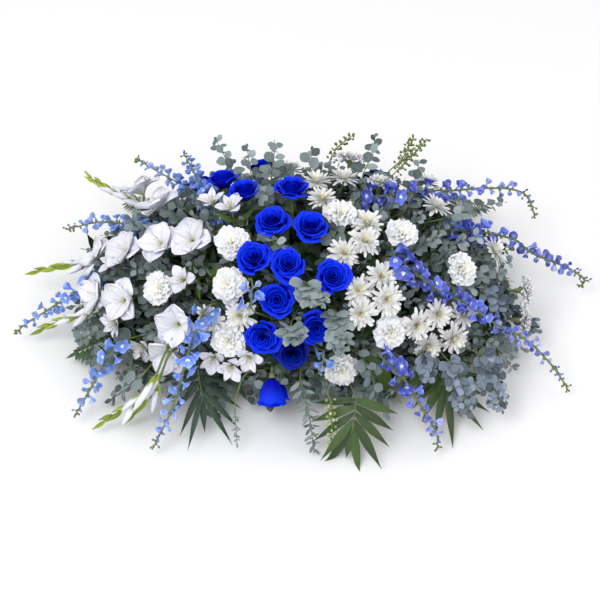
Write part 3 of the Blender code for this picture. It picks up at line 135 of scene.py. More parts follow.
def dome_normal(point):
    """The way the dome faces at a point."""
    offset = point - DOME_CENTRE
    return Vector((offset.x / DOME_LENGTH ** 2, offset.y / DOME_DEPTH ** 2,
                   offset.z / DOME_HEIGHT ** 2)).normalized()


def on_dome(s, t):
    """The point of the dome seen at s, t, or the nearest to it where the sight passes beside."""
    ray = sight(s, t)
    start, run = to_dome(EYE - DOME_CENTRE), to_dome(ray)
    middle = -start.dot(run) / run.dot(run)
    inside = middle ** 2 - (start.dot(start) - 1) / run.dot(run)
    return EYE + ray * (middle - sqrt(max(inside, 0)))


class Head:
    """One bloom: its middle, the way it faces and the way it may move to get clear."""

    def __init__(self, centre, facing, slide, tall=1.0):
        self.centre = centre
        self.tall = tall
        self.facing = facing.normalized()
        self.slide = slide.normalized()
        self.kind = None
        self.owner = None

    @property
    def radius(self):
        return BLOOM[self.kind].radius

    @property
    def base(self):
        return self.centre - self.facing * BLOOM[self.kind].height * self.tall / 2

    def axes(self):
        side = self.facing.cross(Vector((0.2, 0.1, 1))).normalized()
        return side, self.facing.cross(side)

    def at(self, radius, angle, height, size=1.0):
        """A point by radius, angle and height above the bloom's base."""
        side, other = self.axes()
        flat = side * cos(angle) + other * sin(angle)
        return self.base + (flat * radius + self.facing * height * self.tall) * size


def seen(s, t, lift=0, facing=None, height=None, tall=1.0):
    """A bloom seen at s, t: on the dome, or at a height; lift in mm moves it to the viewer.

    tall stretches it the way it faces, as a bloom that is still closed.
    """
    point = on_dome(s, t) if height is None else at_height(s, t, height)
    normal = Vector(facing) if facing else dome_normal(point)
    toward = EYE - point
    return Head(point + toward.normalized() * lift * MM, normal, toward, tall)


def behind(x, z):
    """A bloom on the dome's far side, at x and height z in mm."""
    across = (x * MM / DOME_LENGTH) ** 2 + ((z * MM - DOME_CENTRE.z) / DOME_HEIGHT) ** 2
    point = Vector((x * MM, DOME_DEPTH * sqrt(max(1 - across, 0.01)), z * MM))
    normal = dome_normal(point)
    return Head(point, normal, normal)


PATH_DROOP = 1.3  # above 1, a path keeps its height at first and falls toward its tip


def spray_path(inner, tip, *places):
    """Path seen through the places, from height inner to height tip in mm."""
    reach = [0.0]
    for (s, t), (s2, t2) in zip(places, places[1:]):
        reach.append(reach[-1] + hypot(s2 - s, t2 - t))
    return [at_height(s, t, inner + (tip - inner) * (run / reach[-1]) ** PATH_DROOP)
            for (s, t), run in zip(places, reach)]


# Blooms of each node
ROSES = {
    "rose_pair_top_left": [seen(-162, 252), seen(-116, 227)],
    "rose_top": [seen(-17, 233)],
    "rose_pair_upper": [seen(-59, 164), seen(23, 153)],
    "rose_pair_middle": [seen(-103, 92), seen(-25, 74, 12)],
    "rose_right": [seen(71, 53)],
    "rose_middle": [seen(-48, 0, 4)],
    "rose_pair_lower": [seen(-78, -76), seen(-17, -109, -14)],
    "rose_lower_right": [seen(34, -57)],
    "rose_hanging": [seen(-57, -193, facing=(0.05, -0.74, -0.67), height=98, tall=1.45)],
    "rose_bunch_back": [seen(-71, 276, -6), behind(-215, 190), behind(165, 205)],
}
CARNATIONS = {
    "carnation_pair_left": [seen(-139, 120), seen(-151, 32)],
    "carnation_pair_lower_left": [seen(-298, 25), seen(-151, -88)],
    "carnation_bunch_top": [seen(86, 187), seen(107, 300), seen(170, 250)],
    "carnation_pair_right": [seen(216, 143), seen(344, 65)],
    "carnation_pair_front": [seen(193, -69), seen(88, -151)],
    "carnation_pair_end": [seen(479, 17, facing=(1, -0.1, 0.15), height=125),
                           seen(475, -42, facing=(1, -0.25, 0.05), height=95)],
    "carnation_pair_back": [behind(60, 190), behind(-310, 140)],
}
MUMS = {
    "mum_spray_top": [seen(-25, 277), seen(36, 252), seen(92, 260, 8), seen(50, 212)],
    "mum_spray_middle": [seen(139, 164), seen(132, 122, 10), seen(98, 100)],
    "mum_spray_centre": [seen(172, 48), seen(184, 4, 8), seen(124, 19), seen(128, -26, 8)],
    "mum_spray_right": [seen(288, 200), seen(344, 187), seen(269, 250), seen(412, 104)],
    "mum_spray_lower_right": [seen(246, -55), seen(269, -98), seen(324, -82, 8), seen(292, -30, 8),
                              seen(345, -30)],
    "mum_spray_left": [seen(-189, -44), seen(-128, -34)],
    "mum_spray_back": [behind(265, 170), behind(-130, 110), behind(110, 110)],
}
TRUMPETS = {
    "alstroemeria_upper_left": [seen(-187, 212, 4), seen(-147, 200, 12), seen(-250, 44)],
    "alstroemeria_left": [seen(-399, 84), seen(-395, -52), seen(-335, -104),
                          seen(-330, -150)],
    "alstroemeria_front": [seen(-182, -128), seen(-146, -142, 8), seen(-112, -126)],
}

# What grows on a node's stems: its kind, its paths as spray_path takes them or as points, and, of a
# gladiolus, its open florets
Growth = namedtuple("Growth", "kind routes florets", defaults=((),))
SPIKES = {
    "gladiolus_upper_left": Growth(
        "gladiolus", [(232, 150, (-250, 165), (-321, 197), (-399, 231), (-443, 258))],
        [seen(-336, 235), seen(-300, 200, 14), seen(-231, 130, 12)]),
    "gladiolus_left": Growth(
        "gladiolus", [(185, 80, (-330, 100), (-407, 96), (-445, 80), (-550, 61))],
        [seen(-426, 92), seen(-372, 105, 14), seen(-294, 122, 8)]),
    "gladiolus_lower_left": Growth(
        "gladiolus", [(175, 45, (-330, 10), (-409, 0), (-451, -31), (-504, -45), (-546, -62))],
        [seen(-430, 12), seen(-375, -2, 10)]),
    "gladiolus_front_left": Growth(
        "gladiolus", [(165, 40, (-280, -100), (-304, -164), (-345, -215), (-409, -252)),
                      (160, 35, (-275, -110), (-300, -180), (-330, -215), (-355, -243))],
        [seen(-277, -109, 10), seen(-262, -62)]),
    "delphinium_top_left": Growth("light", [
        (262, 190, (-126, 158), (-158, 178), (-220, 227), (-252, 244), (-304, 273), (-344, 296)),
        (262, 215, (-165, 185), (-210, 242), (-231, 284), (-244, 309))]),
    "delphinium_upper_left": Growth("light", [(
        225, 120, (-270, 135), (-336, 151), (-389, 164), (-430, 164), (-487, 149))]),
    "delphinium_far_left": Growth("light", [(
        150, 45, (-400, 45), (-451, 27), (-504, -4), (-535, -25), (-571, -46), (-598, -69))]),
    "delphinium_lower_left": Growth("light", [(
        140, 35, (-375, -85), (-409, -130), (-430, -168), (-451, -206), (-472, -241))]),
    "delphinium_hanging_left": Growth("light", [(
        245, 25, (-196, -10), (-231, -94), (-252, -178), (-273, -241), (-309, -311))]),
    "delphinium_short": Growth("light", [
        (265, 290, (-104, -22), (-102, 10), (-100, 36)),
        (215, 190, (50, -105), (50, -126), (40, -150))]),
    "delphinium_upper_right": Growth("deep", [(
        285, 140, (124, 216), (202, 220), (273, 231), (315, 229), (376, 235), (435, 235),
        (470, 226), (485, 206), (493, 174))]),
    "delphinium_right": Growth("deep", [(
        225, 45, (300, 150), (326, 147), (399, 141), (456, 126), (482, 100), (525, 82), (556, 71),
        (582, 57), (601, 40), (588, 29))]),
    "delphinium_lower_right": Growth("deep", [(
        300, 35, (189, 101), (239, 59), (292, 17), (349, -6), (412, -52), (460, -74), (487, -92),
        (517, -124), (540, -150), (563, -189))]),
    "delphinium_hanging_right": Growth("deep", [(
        190, 25, (164, -113), (218, -164), (239, -197), (260, -233), (280, -265), (290, -286),
        (288, -311))]),
    "filler_top": Growth("filler", [
        (240, 235, (58, 285), (78, 322), (111, 346)),
        (280, 255, (189, 273), (214, 294), (237, 340)),
        (280, 250, (195, 262), (232, 300), (265, 336))]),
    "filler_front": Growth("filler", [(140, 30, (55, -190), (65, -214), (67, -246), (67, -300))]),
}

GREENS = {
    "eucalyptus_top": Growth("eucalyptus", [
        (250, 270, (-120, 235), (-150, 285), (-174, 332)),
        (260, 280, (-100, 245), (-105, 280), (-111, 317)),
        (265, 285, (-60, 262), (-55, 295), (-53, 326)),
        (290, 310, (-90, 190), (-70, 232))]),
    "eucalyptus_upper_right": Growth("eucalyptus", [
        (275, 290, (20, 270), (25, 311)),
        (275, 270, (130, 262), (149, 298), (158, 342)),
        (250, 235, (225, 190), (238, 235), (250, 288)),
        (250, 190, (300, 170), (376, 197), (425, 205))]),
    "eucalyptus_middle": Growth("eucalyptus", [
        (290, 330, (66, 108), (72, 132), (79, 156)),
        (300, 330, (-60, 118), (-62, 128), (-40, 112)),
        (300, 320, (10, 40), (19, 15), (45, -10)),
        (260, 270, (-20, -50), (-17, -70), (-10, -85)),
        (250, 250, (75, -20), (80, -60), (88, -110))]),
    "eucalyptus_left": Growth("eucalyptus", [
        (240, 215, (-195, 100), (-225, 105), (-240, 85)),
        (190, 150, (-300, 62), (-349, 69), (-425, 50)),
        (190, 110, (-290, 0), (-335, 12), (-400, 25)),
        (120, 50, (-350, -90), (-400, -111), (-435, -120)),
        (120, 25, (-330, -160), (-372, -188), (-397, -212))]),
    "eucalyptus_lower_right": Growth("eucalyptus", [
        (135, 60, (378, -113), (401, -132), (405, -183), (424, -229)),
        (150, 70, (309, -124), (326, -153), (340, -191), (353, -239)),
        (150, 120, (255, -110), (265, -130), (269, -164)),
        (140, 60, (393, 32), (428, -10), (470, -40), (500, -63))]),
    "eucalyptus_front": Growth("eucalyptus", [
        (170, 60, (116, -105), (147, -141), (155, -178), (172, -225)),
        (160, 15, (0, -165), (10, -205), (21, -250), (29, -315)),
        (150, 25, (-115, -150), (-135, -200), (-137, -240), (-132, -305))]),
    "palm_front": Growth("palm", [(110, 12, (118, -205), (112, -260), (94, -336))]),
    "palm_right": Growth("palm", [(85, 22, (285, -140), (310, -190), (345, -248))]),
    "palm_left": Growth("palm", [(105, 38, (-216, -140), (-206, -200), (-200, -280))]),
    "fern_left": Growth("fern", [
        (90, 40, (-330, -40), (-400, -80), (-468, -110)),
        [Vector((-0.22, 0.17, 0.13)), Vector((-0.31, 0.24, 0.11)), Vector((-0.39, 0.29, 0.05))],
        [Vector((-0.15, 0.19, 0.11)), Vector((-0.19, 0.26, 0.09)), Vector((-0.23, 0.32, 0.04))]]),
    "fern_right": Growth("fern", [
        (110, 40, (300, -70), (360, -80), (430, -95)),
        [Vector((0.24, 0.17, 0.13)), Vector((0.33, 0.24, 0.11)), Vector((0.42, 0.28, 0.05))],
        [Vector((0.01, 0.20, 0.11)), Vector((0.02, 0.27, 0.09)), Vector((0.03, 0.35, 0.04))]]),
    "broad_leaves": Growth("broad", [
        (170, 70, (130, -108), (175, -150), (220, -200)),
        (120, 60, (-250, -50), (-300, -80), (-345, -62))]),
}


SAMPLE_STEP = 4 * MM  # between the points at which a path is tested


class Placed:
    """Stems and blooms as round runs, with the node that owns each."""

    def __init__(self):
        self.starts, self.ends, self.radii, self.owners = [], [], [], []

    def add_run(self, owner, start, end, radius):
        self.starts.append(tuple(start))
        self.ends.append(tuple(end))
        self.radii.append(radius)
        self.owners.append(owner)

    def add_path(self, owner, path, radius):
        for start, end in zip(path, path[1:]):
            self.add_run(owner, start, end, radius)

    def room(self, skipped, path, radius):
        """Least gap between a path of that radius and what is placed, but for skipped owners."""
        samples = []
        for start, end in zip(path, path[1:]):
            count = max(int((end - start).length / SAMPLE_STEP), 1)
            samples += [tuple(start.lerp(end, i / count)) for i in range(count + 1)]
        others = np.array([name not in skipped for name in self.owners])
        if not others.any():
            return 1.0
        a = np.array(self.starts)[others]
        b = np.array(self.ends)[others]
        r = np.array(self.radii)[others]
        p = np.array(samples)[:, None, :]
        run = b - a
        length = np.maximum((run * run).sum(1), 1e-12)
        share = np.clip(((p - a) * run).sum(2) / length, 0, 1)
        gaps = np.linalg.norm(p - (a + share[:, :, None] * run), axis=2) - r - radius
        return float(gaps.min())


PLACED = Placed()
STEMS = {}  # node name: path, radius and tip radius of each of its stems


def inner_end(point):
    """Where in the foam a stem that comes from a point ends."""
    x = max(-INNER_LIMIT_X, min(INNER_LIMIT_X, INNER_SHARE_X * point.x))
    x = copysign(max(abs(x), INNER_LEAST_X), x)
    y = max(-INNER_LIMIT_Y, min(INNER_LIMIT_Y, INNER_SHARE_Y * point.y))
    return Vector((x, y, INNER_HEIGHT))


def route(skipped, inner, outer, radius, draw, loose_inner=True):
    """Path from an inner point through the outer points, moved until it is clear."""
    best, best_room = None, -1.0
    for attempt in range(ROUTE_TRIES):
        reach = ROUTE_REACH * (attempt / ROUTE_TRIES)
        start = inner.copy()
        if loose_inner:
            start.x += draw.uniform(-reach.x, reach.x)
            start.y += draw.uniform(-reach.y, reach.y)
            start.x = max(-INNER_LIMIT_X, min(INNER_LIMIT_X, start.x))
            start.y = max(-INNER_LIMIT_Y, min(INNER_LIMIT_Y, start.y))
            if start.x * inner.x < INNER_LEAST_X * abs(inner.x):
                continue
        bend = Vector([draw.uniform(-reach.x, reach.x) for _ in range(3)])
        middle = start.lerp(outer[0], BEND_SHARE) + bend
        path = [start, middle, outer[0]]
        room = min(PLACED.room(skipped, path, radius), middle.z - GROUND)
        if room > best_room:
            best, best_room = path, room
        if room > STEM_GAP:
            break
    return best + list(outer[1:])


def add_stem(owner, path, radius, tip):
    """A stem that narrows to a tip at its last point."""
    PLACED.add_path(owner, path, radius)
    STEMS.setdefault(owner, []).append((path, radius, tip))


def clear_path(owner, path, radius):
    """The path with its points moved along the sight, the tip last, until it is clear."""
    moved = [point.copy() for point in path]
    for i in range(len(path) - 1):
        toward = (EYE - path[i]).normalized()
        best_room = -1.0
        for step in range(SIGHT_SHIFTS):
            shift = (step + 1) // 2 * SIGHT_STEP * (-1 if step % 2 else 1)
            place = path[i] + toward * shift
            run = moved[max(i - 1, 0):i] + [place, path[i + 1]]
            room = min(PLACED.room([owner], run, radius), place.z - GROUND - radius)
            if room > best_room:
                moved[i], best_room = place, room
            if room > STEM_GAP:
                break
    return moved


def joint_between(inner, middle, fork):
    """Where a trunk forks: at a share of its way, and clear of the foam."""
    joint = inner.lerp(middle, fork)
    joint.z = max(joint.z, BRICK_TOP + FORK_HEIGHT)
    return joint


def inside_end(trunk):
    """A point a little inside a trunk's outer end, from which its branches leave."""
    return trunk[-1] + (trunk[-2] - trunk[-1]).normalized() * JOINT_OVERLAP


def bloom_stems(owner, heads, radius, fork):
    """Stem of a node's blooms, forked at a share of its way where they are several."""
    draw = random.Random(owner)
    middle = sum((head.base for head in heads), Vector()) / len(heads)
    inner = inner_end(middle)
    necks = [[head.base - head.facing * NECK_BELOW, head.base + head.facing * NECK_INSIDE]
             for head in heads]
    if len(heads) == 1:
        add_stem(owner, route([owner] + heads, inner, necks[0], radius, draw), radius, radius)
        return
    joint = joint_between(inner, middle - dome_normal(middle) * JOINT_DEPTH, fork)
    trunk = route([owner], inner, [joint], radius, draw)
    add_stem(owner, trunk, radius, radius)
    branch = radius * BLOOM_BRANCH
    for head, neck in zip(heads, necks):
        path = route([owner, head], inside_end(trunk), neck, branch, draw, False)
        add_stem(owner, path, branch, branch)


def forked_stems(owner, paths, radius, fork, bare):
    """Stems of spikes or twigs: one trunk out of the foam, then a run along each path.

    A bare stem ends just inside the path's start, where a frond goes on as its own rib.
    """
    draw = random.Random(owner)
    paths = [clear_path(owner, path, radius) for path in paths]
    runs = [[path[0], along(path, BARE_OVERLAP)[0]] if bare else path for path in paths]
    middle = sum((path[0] for path in paths), Vector()) / len(paths)
    inner = inner_end(middle)
    if len(paths) == 1:
        whole = route([owner], inner, runs[0], radius, draw)
        add_stem(owner, whole, radius, radius * TAPER)
        return paths
    trunk = route([owner], inner, [joint_between(inner, middle, fork)], radius, draw)
    add_stem(owner, trunk, radius, radius)
    branch = radius * TWIG_BRANCH
    for run in runs:
        whole = route([owner], inside_end(trunk), run, branch, draw, False)
        add_stem(owner, whole, branch, radius * TAPER)
    return paths


SETTLE_ROUNDS, SETTLE_STEP = 120, 0.25  # how often, and the share of an overlap undone each time
SLIDE_ALONG, SLIDE_ACROSS = 1.3, 0.5  # how freely a bloom gives way along its slide, and across


def settle(heads):
    """Move blooms that share room apart, mostly toward or away from the viewer."""
    for _ in range(SETTLE_ROUNDS):
        for i, one in enumerate(heads):
            for other in heads[i + 1:]:
                apart = one.centre - other.centre
                need = (BLOOM[one.kind].room * one.radius
                        + BLOOM[other.kind].room * other.radius - apart.length)
                if need <= 0:
                    continue
                push = apart.normalized() * need * SETTLE_STEP
                for head, sign in ((one, 1), (other, -1)):
                    sliding = head.slide * push.dot(head.slide)
                    head.centre += (sliding * SLIDE_ALONG + (push - sliding) * SLIDE_ACROSS) * sign


def along(path, distance):
    """Place and direction at a distance along a path."""
    for start, end in zip(path, path[1:]):
        length = (end - start).length
        if distance <= length or end is path[-1]:
            return start.lerp(end, min(distance / length, 1.0)), (end - start) / length
        distance -= length


def length_of(path):
    return sum((b - a).length for a, b in zip(path, path[1:]))


def round_stem(ahead, angle):
    """Direction across a stem at an angle from its upper side."""
    side = ahead.cross(Vector((0, 0, 1))).normalized()
    up = side.cross(ahead)
    return up * cos(angle) + side * sin(angle)


def square_to(out, toward):
    """Direction square to out that leans most toward another."""
    return (toward - out * toward.dot(out)).normalized()


def nearest_on(path, point):
    """The point of a path nearest to a point."""
    best = None
    for start, end in zip(path, path[1:]):
        run = end - start
        share = max(0.0, min(1.0, (point - start).dot(run) / run.length_squared))
        place = start + run * share
        if best is None or (place - point).length < (best - point).length:
            best = place
    return best


def reserve_holder():
    """Keep stems off the cage and the tray's rim."""
    inner = BRICK_WIDTH / 2 + FIT
    outer = inner + CAGE_WIRE
    half = CAGE_WIRE / 2
    top = BRICK_TOP + FIT
    bars = []
    for x in CAGE_HOOPS:
        bars.append(((x - half, -outer, top), (x + half, outer, top + CAGE_WIRE)))
        for sign in (-1, 1):
            low, high = sorted((sign * inner, sign * outer))
            bars.append(((x - half, low, BRICK_BOTTOM), (x + half, high, top + half)))
    for sign in (-1, 1):
        low, high = sorted((sign * inner, sign * outer))
        bars.append(((CAGE_HOOPS[0], low, CAGE_RAIL_HEIGHT),
                     (CAGE_HOOPS[-1], high, CAGE_RAIL_HEIGHT + CAGE_WIRE)))
    for corner, far in bars:
        low, high = Vector(corner), Vector(far)
        middle = (low + high) / 2
        half_run = Vector([max((high - low)[k] / 2 - CAGE_WIRE / 2, 0) for k in range(3)])
        PLACED.add_run("foam_cage", middle - half_run, middle + half_run, CAGE_WIRE * 0.75)
    for sign in (-1, 1):
        rim = Vector((TRAY_LENGTH / 2, sign * TRAY_WIDTH / 2, TRAY_HEIGHT - 2 * MM))
        PLACED.add_run("saddle_tray", Vector((-rim.x, rim.y, rim.z)), rim, 3 * MM)


# Where stems fork, as a share of their way
Group = namedtuple("Group", "table kind fork")
GROUPS = (Group(ROSES, "rose", 0.4), Group(CARNATIONS, "carnation", 0.4), Group(MUMS, "mum", 0.5),
          Group(TRUMPETS, "trumpet", 0.55))
SPIKE_FORK, GREEN_FORK = 0.7, 0.6
BARE = ("palm", "fern", "broad")  # kinds whose stems end where a frond or leaf goes on


def all_heads():
    """Every bloom, told its kind and the node it belongs to."""
    heads = []
    for group in GROUPS:
        for owner, blooms in group.table.items():
            for head in blooms:
                head.kind, head.owner = group.kind, owner
                heads.append(head)
    for owner, spike in SPIKES.items():
        for head in spike.florets:
            head.kind, head.owner = "gladiolus", owner
            heads.append(head)
    return heads


def place_all():
    """Blooms in their settled places, and the paths on which spikes and greens grow."""
    reserve_holder()
    heads = all_heads()
    settle(heads)
    for head in heads:
        PLACED.add_run(head, head.centre, head.centre, BLOOM[head.kind].stem_room * head.radius)
    for group in GROUPS:
        for owner, blooms in group.table.items():
            bloom_stems(owner, blooms, STEM[group.kind], group.fork)
    grown = {}
    for table, fork in ((SPIKES, SPIKE_FORK), (GREENS, GREEN_FORK)):
        for owner, growth in table.items():
            paths = [route if isinstance(route[0], Vector) else spray_path(*route)
                     for route in growth.routes]
            grown[owner] = forked_stems(owner, paths, STEM[growth.kind], fork, growth.kind in BARE)
    return heads, grown


HEADS, GROWN = place_all()
KINDS = {head.owner: head.kind for head in HEADS}
KINDS.update({owner: growth.kind for table in (SPIKES, GREENS) for owner, growth in table.items()})


# Skins

class Skin:
    """Sheets and rods of one piece. Each point knows its place on its petal or leaf: how far
    along, how far across, a draw of the petal's own, and whether it is of the bloom's heart."""

    def __init__(self):
        self.points, self.faces, self.places = [], [], []
        self.count = 0

    def grid(self, points, along_share, across_share, draw, heart, closed=False):
        """Adds a sheet through rows of points, or a tube where its rows are closed."""
        rows, columns = points.shape[:2]
        index = np.arange(rows * columns).reshape(rows, columns) + self.count
        if closed:
            index = np.column_stack([index, index[:, :1]])
        quads = np.stack([index[:-1, :-1], index[:-1, 1:], index[1:, 1:], index[1:, :-1]], axis=-1)
        place = np.empty((rows, columns, 4))
        place[..., 0] = np.broadcast_to(along_share, (rows, columns))
        place[..., 1] = np.broadcast_to(across_share, (rows, columns))
        place[..., 2] = draw
        place[..., 3] = heart
        self.points.append(points.reshape(-1, 3))
        self.faces.append(quads.reshape(-1, 4))
        self.places.append(place.reshape(-1, 4))
        self.count += rows * columns

    def piece(self, name, finish, slot, nodes=()):
        """The skin as an object that rides on the root and stands for the CAD nodes."""
        points = above_floor(np.concatenate(self.points))
        faces = np.concatenate(self.faces)
        mesh = bpy.data.meshes.new(name)
        mesh.vertices.add(len(points))
        mesh.vertices.foreach_set("co", points.ravel().astype(np.float32))
        mesh.loops.add(faces.size)
        mesh.loops.foreach_set("vertex_index", faces.ravel().astype(np.int32))
        mesh.polygons.add(len(faces))
        mesh.polygons.foreach_set("loop_start", np.arange(0, faces.size, 4, dtype=np.int32))
        place = mesh.attributes.new("place", "FLOAT_COLOR", "POINT")
        place.data.foreach_set("color", np.concatenate(self.places).ravel().astype(np.float32))
        mesh.update(calc_edges=True)
        mesh.validate()
        mesh.shade_smooth()
        mesh.materials.append(finish)
        made = bpy.data.objects.new(name, mesh)
        bpy.context.scene.collection.objects.link(made)
        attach(made, "root")
        if nodes:
            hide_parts(*nodes)
        return made


LOWEST, FLOOR_BEND = 0.8 * MM, 8 * MM  # lowest point of a leaf, and where it starts to bend up


def above_floor(points):
    """Points with those near the floor or under it bent up to lie on it, in the same order."""
    rise = FLOOR_BEND - LOWEST
    under = np.minimum(points[:, 2] - FLOOR_BEND, 0)
    points[:, 2] = np.where(under < 0, LOWEST + rise * np.exp(under / rise), points[:, 2])
    return points


def ribbon(skin, root, ahead, up, length, halves, bend=0.0, cup=0.0, ruffle=0.0, waves=2.0,
           phase=0.0, edge=None, columns=3, draw=0.5, heart=0.0, early=1.0):
    """A petal or leaf: it leaves root along ahead and bends away from up by bend radians.

    halves are its half widths from root to tip, cup lifts its edges, ruffle waves them, edge moves
    each column of its tip along by a share of the length, and early, under 1, makes it bend nearer
    its root.
    """
    root, ahead, up = np.asarray(root), np.asarray(ahead), np.asarray(up)
    rows = len(halves)
    share = np.linspace(0, 1, rows)
    turn = bend * ((share[1:] + share[:-1]) / 2) ** early
    course = ahead * np.cos(turn)[:, None] - up * np.sin(turn)[:, None]
    middle = root + np.vstack([np.zeros(3), np.cumsum(course * (length / (rows - 1)), axis=0)])
    turn_at = bend * share ** early
    heading = ahead * np.cos(turn_at)[:, None] - up * np.sin(turn_at)[:, None]
    normal = up * np.cos(turn_at)[:, None] + ahead * np.sin(turn_at)[:, None]
    across = np.cross(ahead, up)
    u = np.linspace(-1, 1, columns)
    wide = np.asarray(halves)[:, None] * u
    lift = cup * np.asarray(halves)[:, None] * u ** 2
    if ruffle:
        lift = lift + ruffle * share[:, None] ** 1.5 * np.sin(waves * pi * u + phase)
    points = middle[:, None, :] + wide[..., None] * across + lift[..., None] * normal[:, None, :]
    if edge is not None:
        shift = np.asarray(edge) * length * share[:, None] ** 3
        points = points + shift[..., None] * heading[:, None, :]
    skin.grid(points, share[:, None], (u + 1) / 2, draw, heart)


ASIDE = (0.31, 0.22, 0.93)  # any direction that no stem follows


def rod(skin, points, radii, sides, draw=0.5, heart=0.0):
    """A round tube along points."""
    points = np.array([tuple(p) for p in points])
    ahead = np.gradient(points, axis=0)
    ahead /= np.linalg.norm(ahead, axis=1)[:, None]
    side = np.cross(ahead[0], ASIDE)
    angle = np.arange(sides) * tau / sides
    rings = []
    for place, course, radius in zip(points, ahead, radii):
        side = side - course * side.dot(course)
        side /= np.linalg.norm(side)
        other = np.cross(course, side)
        rings.append(place + radius * (np.cos(angle)[:, None] * side
                                       + np.sin(angle)[:, None] * other))
    share = np.linspace(0, 1, len(points))
    skin.grid(np.array(rings), share[:, None], angle / tau, draw, heart, closed=True)


# Places along a bud and its radius there, as shares
BUD_SHARES = ((0.02, 0.10), (0.14, 0.62), (0.38, 0.98), (0.62, 0.92), (0.84, 0.55), (0.97, 0.12))


def bud(skin, root, out, length, radius, sides, draw=0.5, heart=0.0):
    """A closed bud, pointed at both ends."""
    root, out = np.asarray(root), np.asarray(out)
    rod(skin, [root + out * length * share for share, _ in BUD_SHARES],
        [radius * wide for _, wide in BUD_SHARES], sides, draw, heart)


def frame_of(head):
    """Base of a bloom, two directions across it and the way it faces, as arrays."""
    side, other = head.axes()
    return np.array(head.base), np.array(side), np.array(other), np.array(head.facing)


def leaning(side, other, facing, angle, lean):
    """Direction that leans from the way a bloom faces, and the one square to it toward its axis."""
    outward = side * cos(angle) + other * sin(angle)
    return (facing * cos(lean) + outward * sin(lean),
            facing * sin(lean) - outward * cos(lean))


LEAN_JITTER = 32  # most that a petal leans more or less, in degrees for a jitter of 1
WHORL_ROOT = 1.5 * MM  # radius on which the petals of a whorl stand


def whorl(skin, head, turn, count, lean, length, halves, height, jitter, draw, vary=0.08, **form):
    """A ring of like petals round a bloom's axis, from a height in its cup."""
    base, side, other, facing = frame_of(head)
    halves = np.asarray(halves) * MM
    root = base + facing * height * MM
    for k in range(count):
        angle = turn + tau * (k + draw.uniform(-jitter, jitter)) / count
        ahead, up = leaning(side, other, facing, angle,
                            radians(lean + draw.uniform(-1, 1) * LEAN_JITTER * jitter))
        size = 1 + draw.uniform(-vary, vary)
        ribbon(skin, root + (ahead - facing * ahead.dot(facing)) * WHORL_ROOT, ahead, up,
               length * MM * size, halves * size, phase=draw.uniform(0, tau),
               draw=draw.random(), **form)


# Blooms, in mm

# An open rose and a closed one: radius of its outer rims beyond the heart's, how open it is, how
# far its rims roll back and how much further the outer ones, how far up a petal is widest, how
# quickly it widens and how much less so outside, how one side of a petal stands out over the next,
# and the power that draws the rim's colour, a painted highlight, down: low on the closed rose,
# which is painted lighter all over
RoseForm = namedtuple(
    "RoseForm", "spread open curl more_curl widest widening outer_widening skew rim")
OPEN_ROSE = RoseForm(29.5, 1, 2.2, 6.0, 0.70, 0.70, 0.3, 0.07, 1)
CLOSED_ROSE = RoseForm(31.5, 0.2, 4.6, 0, 0.85, 0.45, 0, 0.13, 0.15)
ROSE_ROWS, ROSE_COLUMNS = 12, 11
HEART_RADIUS = 2.5
PETAL_FOOT, PETAL_TOP = 3, 44  # heights
OUTER_DROP, DROP_FROM = 24, 0.35  # how much lower outer rims are, and the share it starts at
HEART_WRAP, OUTER_WRAP = 84, 48  # degrees that a petal reaches round to each side
ROLL_FROM = 0.76  # share of a petal above which its rim rolls back
PEAK = 4.2  # how far the tip of an outer petal's rim stands out
# painted shade: one rose is seen in shadow, so its petals are painted nearly navy
SHADED_ROSE, DIM = ROSES["rose_pair_lower"][1], 4.2  # in the shade, and what its draws are less by


def rose(skin, head, draw, look):
    """Spiral of cupped petals, close at the heart, with their rims rolled back and apart.

    A tall one is still closed, as a bell.
    """
    base, side, other, facing = frame_of(head)
    form = CLOSED_ROSE if head.tall > 1 else OPEN_ROSE
    # painted shade: the rose in the shade has its petals' draws lowered, so they come out nearly navy
    dim = DIM if head is SHADED_ROSE else 0.0
    turn = draw.uniform(0, tau)
    v = (np.linspace(0, 1, ROSE_ROWS) ** 0.8)[:, None]
    u = np.linspace(-1, 1, ROSE_COLUMNS)[None, :]
    sides = np.abs(u) ** 3
    for k in range(look.petals):
        share = k / (look.petals - 1)
        angle = turn + k * GOLDEN + draw.uniform(-0.25, 0.25)
        rim = HEART_RADIUS + form.spread * share ** 0.92
        drop = OUTER_DROP * form.open * max(share - DROP_FROM, 0) ** 1.5
        top = PETAL_TOP - drop + draw.uniform(-0.6, 0.6)
        half = radians(HEART_WRAP - (HEART_WRAP - OUTER_WRAP) * share)
        curl = (form.curl + form.more_curl * share ** 1.3) * draw.uniform(0.8, 1.2)
        wall = 1 + 4 * share
        swell = (np.sin(np.minimum(v / form.widest, 1) * pi / 2)
                 ** (form.widening + form.outer_widening * share))
        rolled = curl * np.clip((v - ROLL_FROM) / (1 - ROLL_FROM), 0, 1) ** 1.3
        radius = wall + (rim - wall) * 0.90 * swell + rolled
        radius = radius * (1 + form.skew * u) - 1.6 * share * sides * v ** 2
        height = PETAL_FOOT + (top - PETAL_FOOT) * v ** 0.85 - rolled * (0.15 + 0.7 * share)
        height = height - (0.04 + 0.15 * share * form.open) * top * sides * v ** 2
        peak = np.clip(1 - np.abs(u) * 1.9, 0, 1) ** 2 * v ** 6
        radius = radius + PEAK * form.open * share * peak
        height = height + (0.5 + share) * np.sin(2.4 * pi * u + draw.uniform(0, 6)) * v ** 3
        bearing = angle + half * u + 0 * v
        points = (base + (radius * np.cos(bearing))[..., None] * MM * side
                  + (radius * np.sin(bearing))[..., None] * MM * other
                  + (height + 0 * u)[..., None] * MM * head.tall * facing)
        # the rim colour is a painted highlight; form.rim draws it down the petal
        skin.grid(points, v ** form.rim, (u + 1) / 2, draw.random() - dim, heart=1 - share)


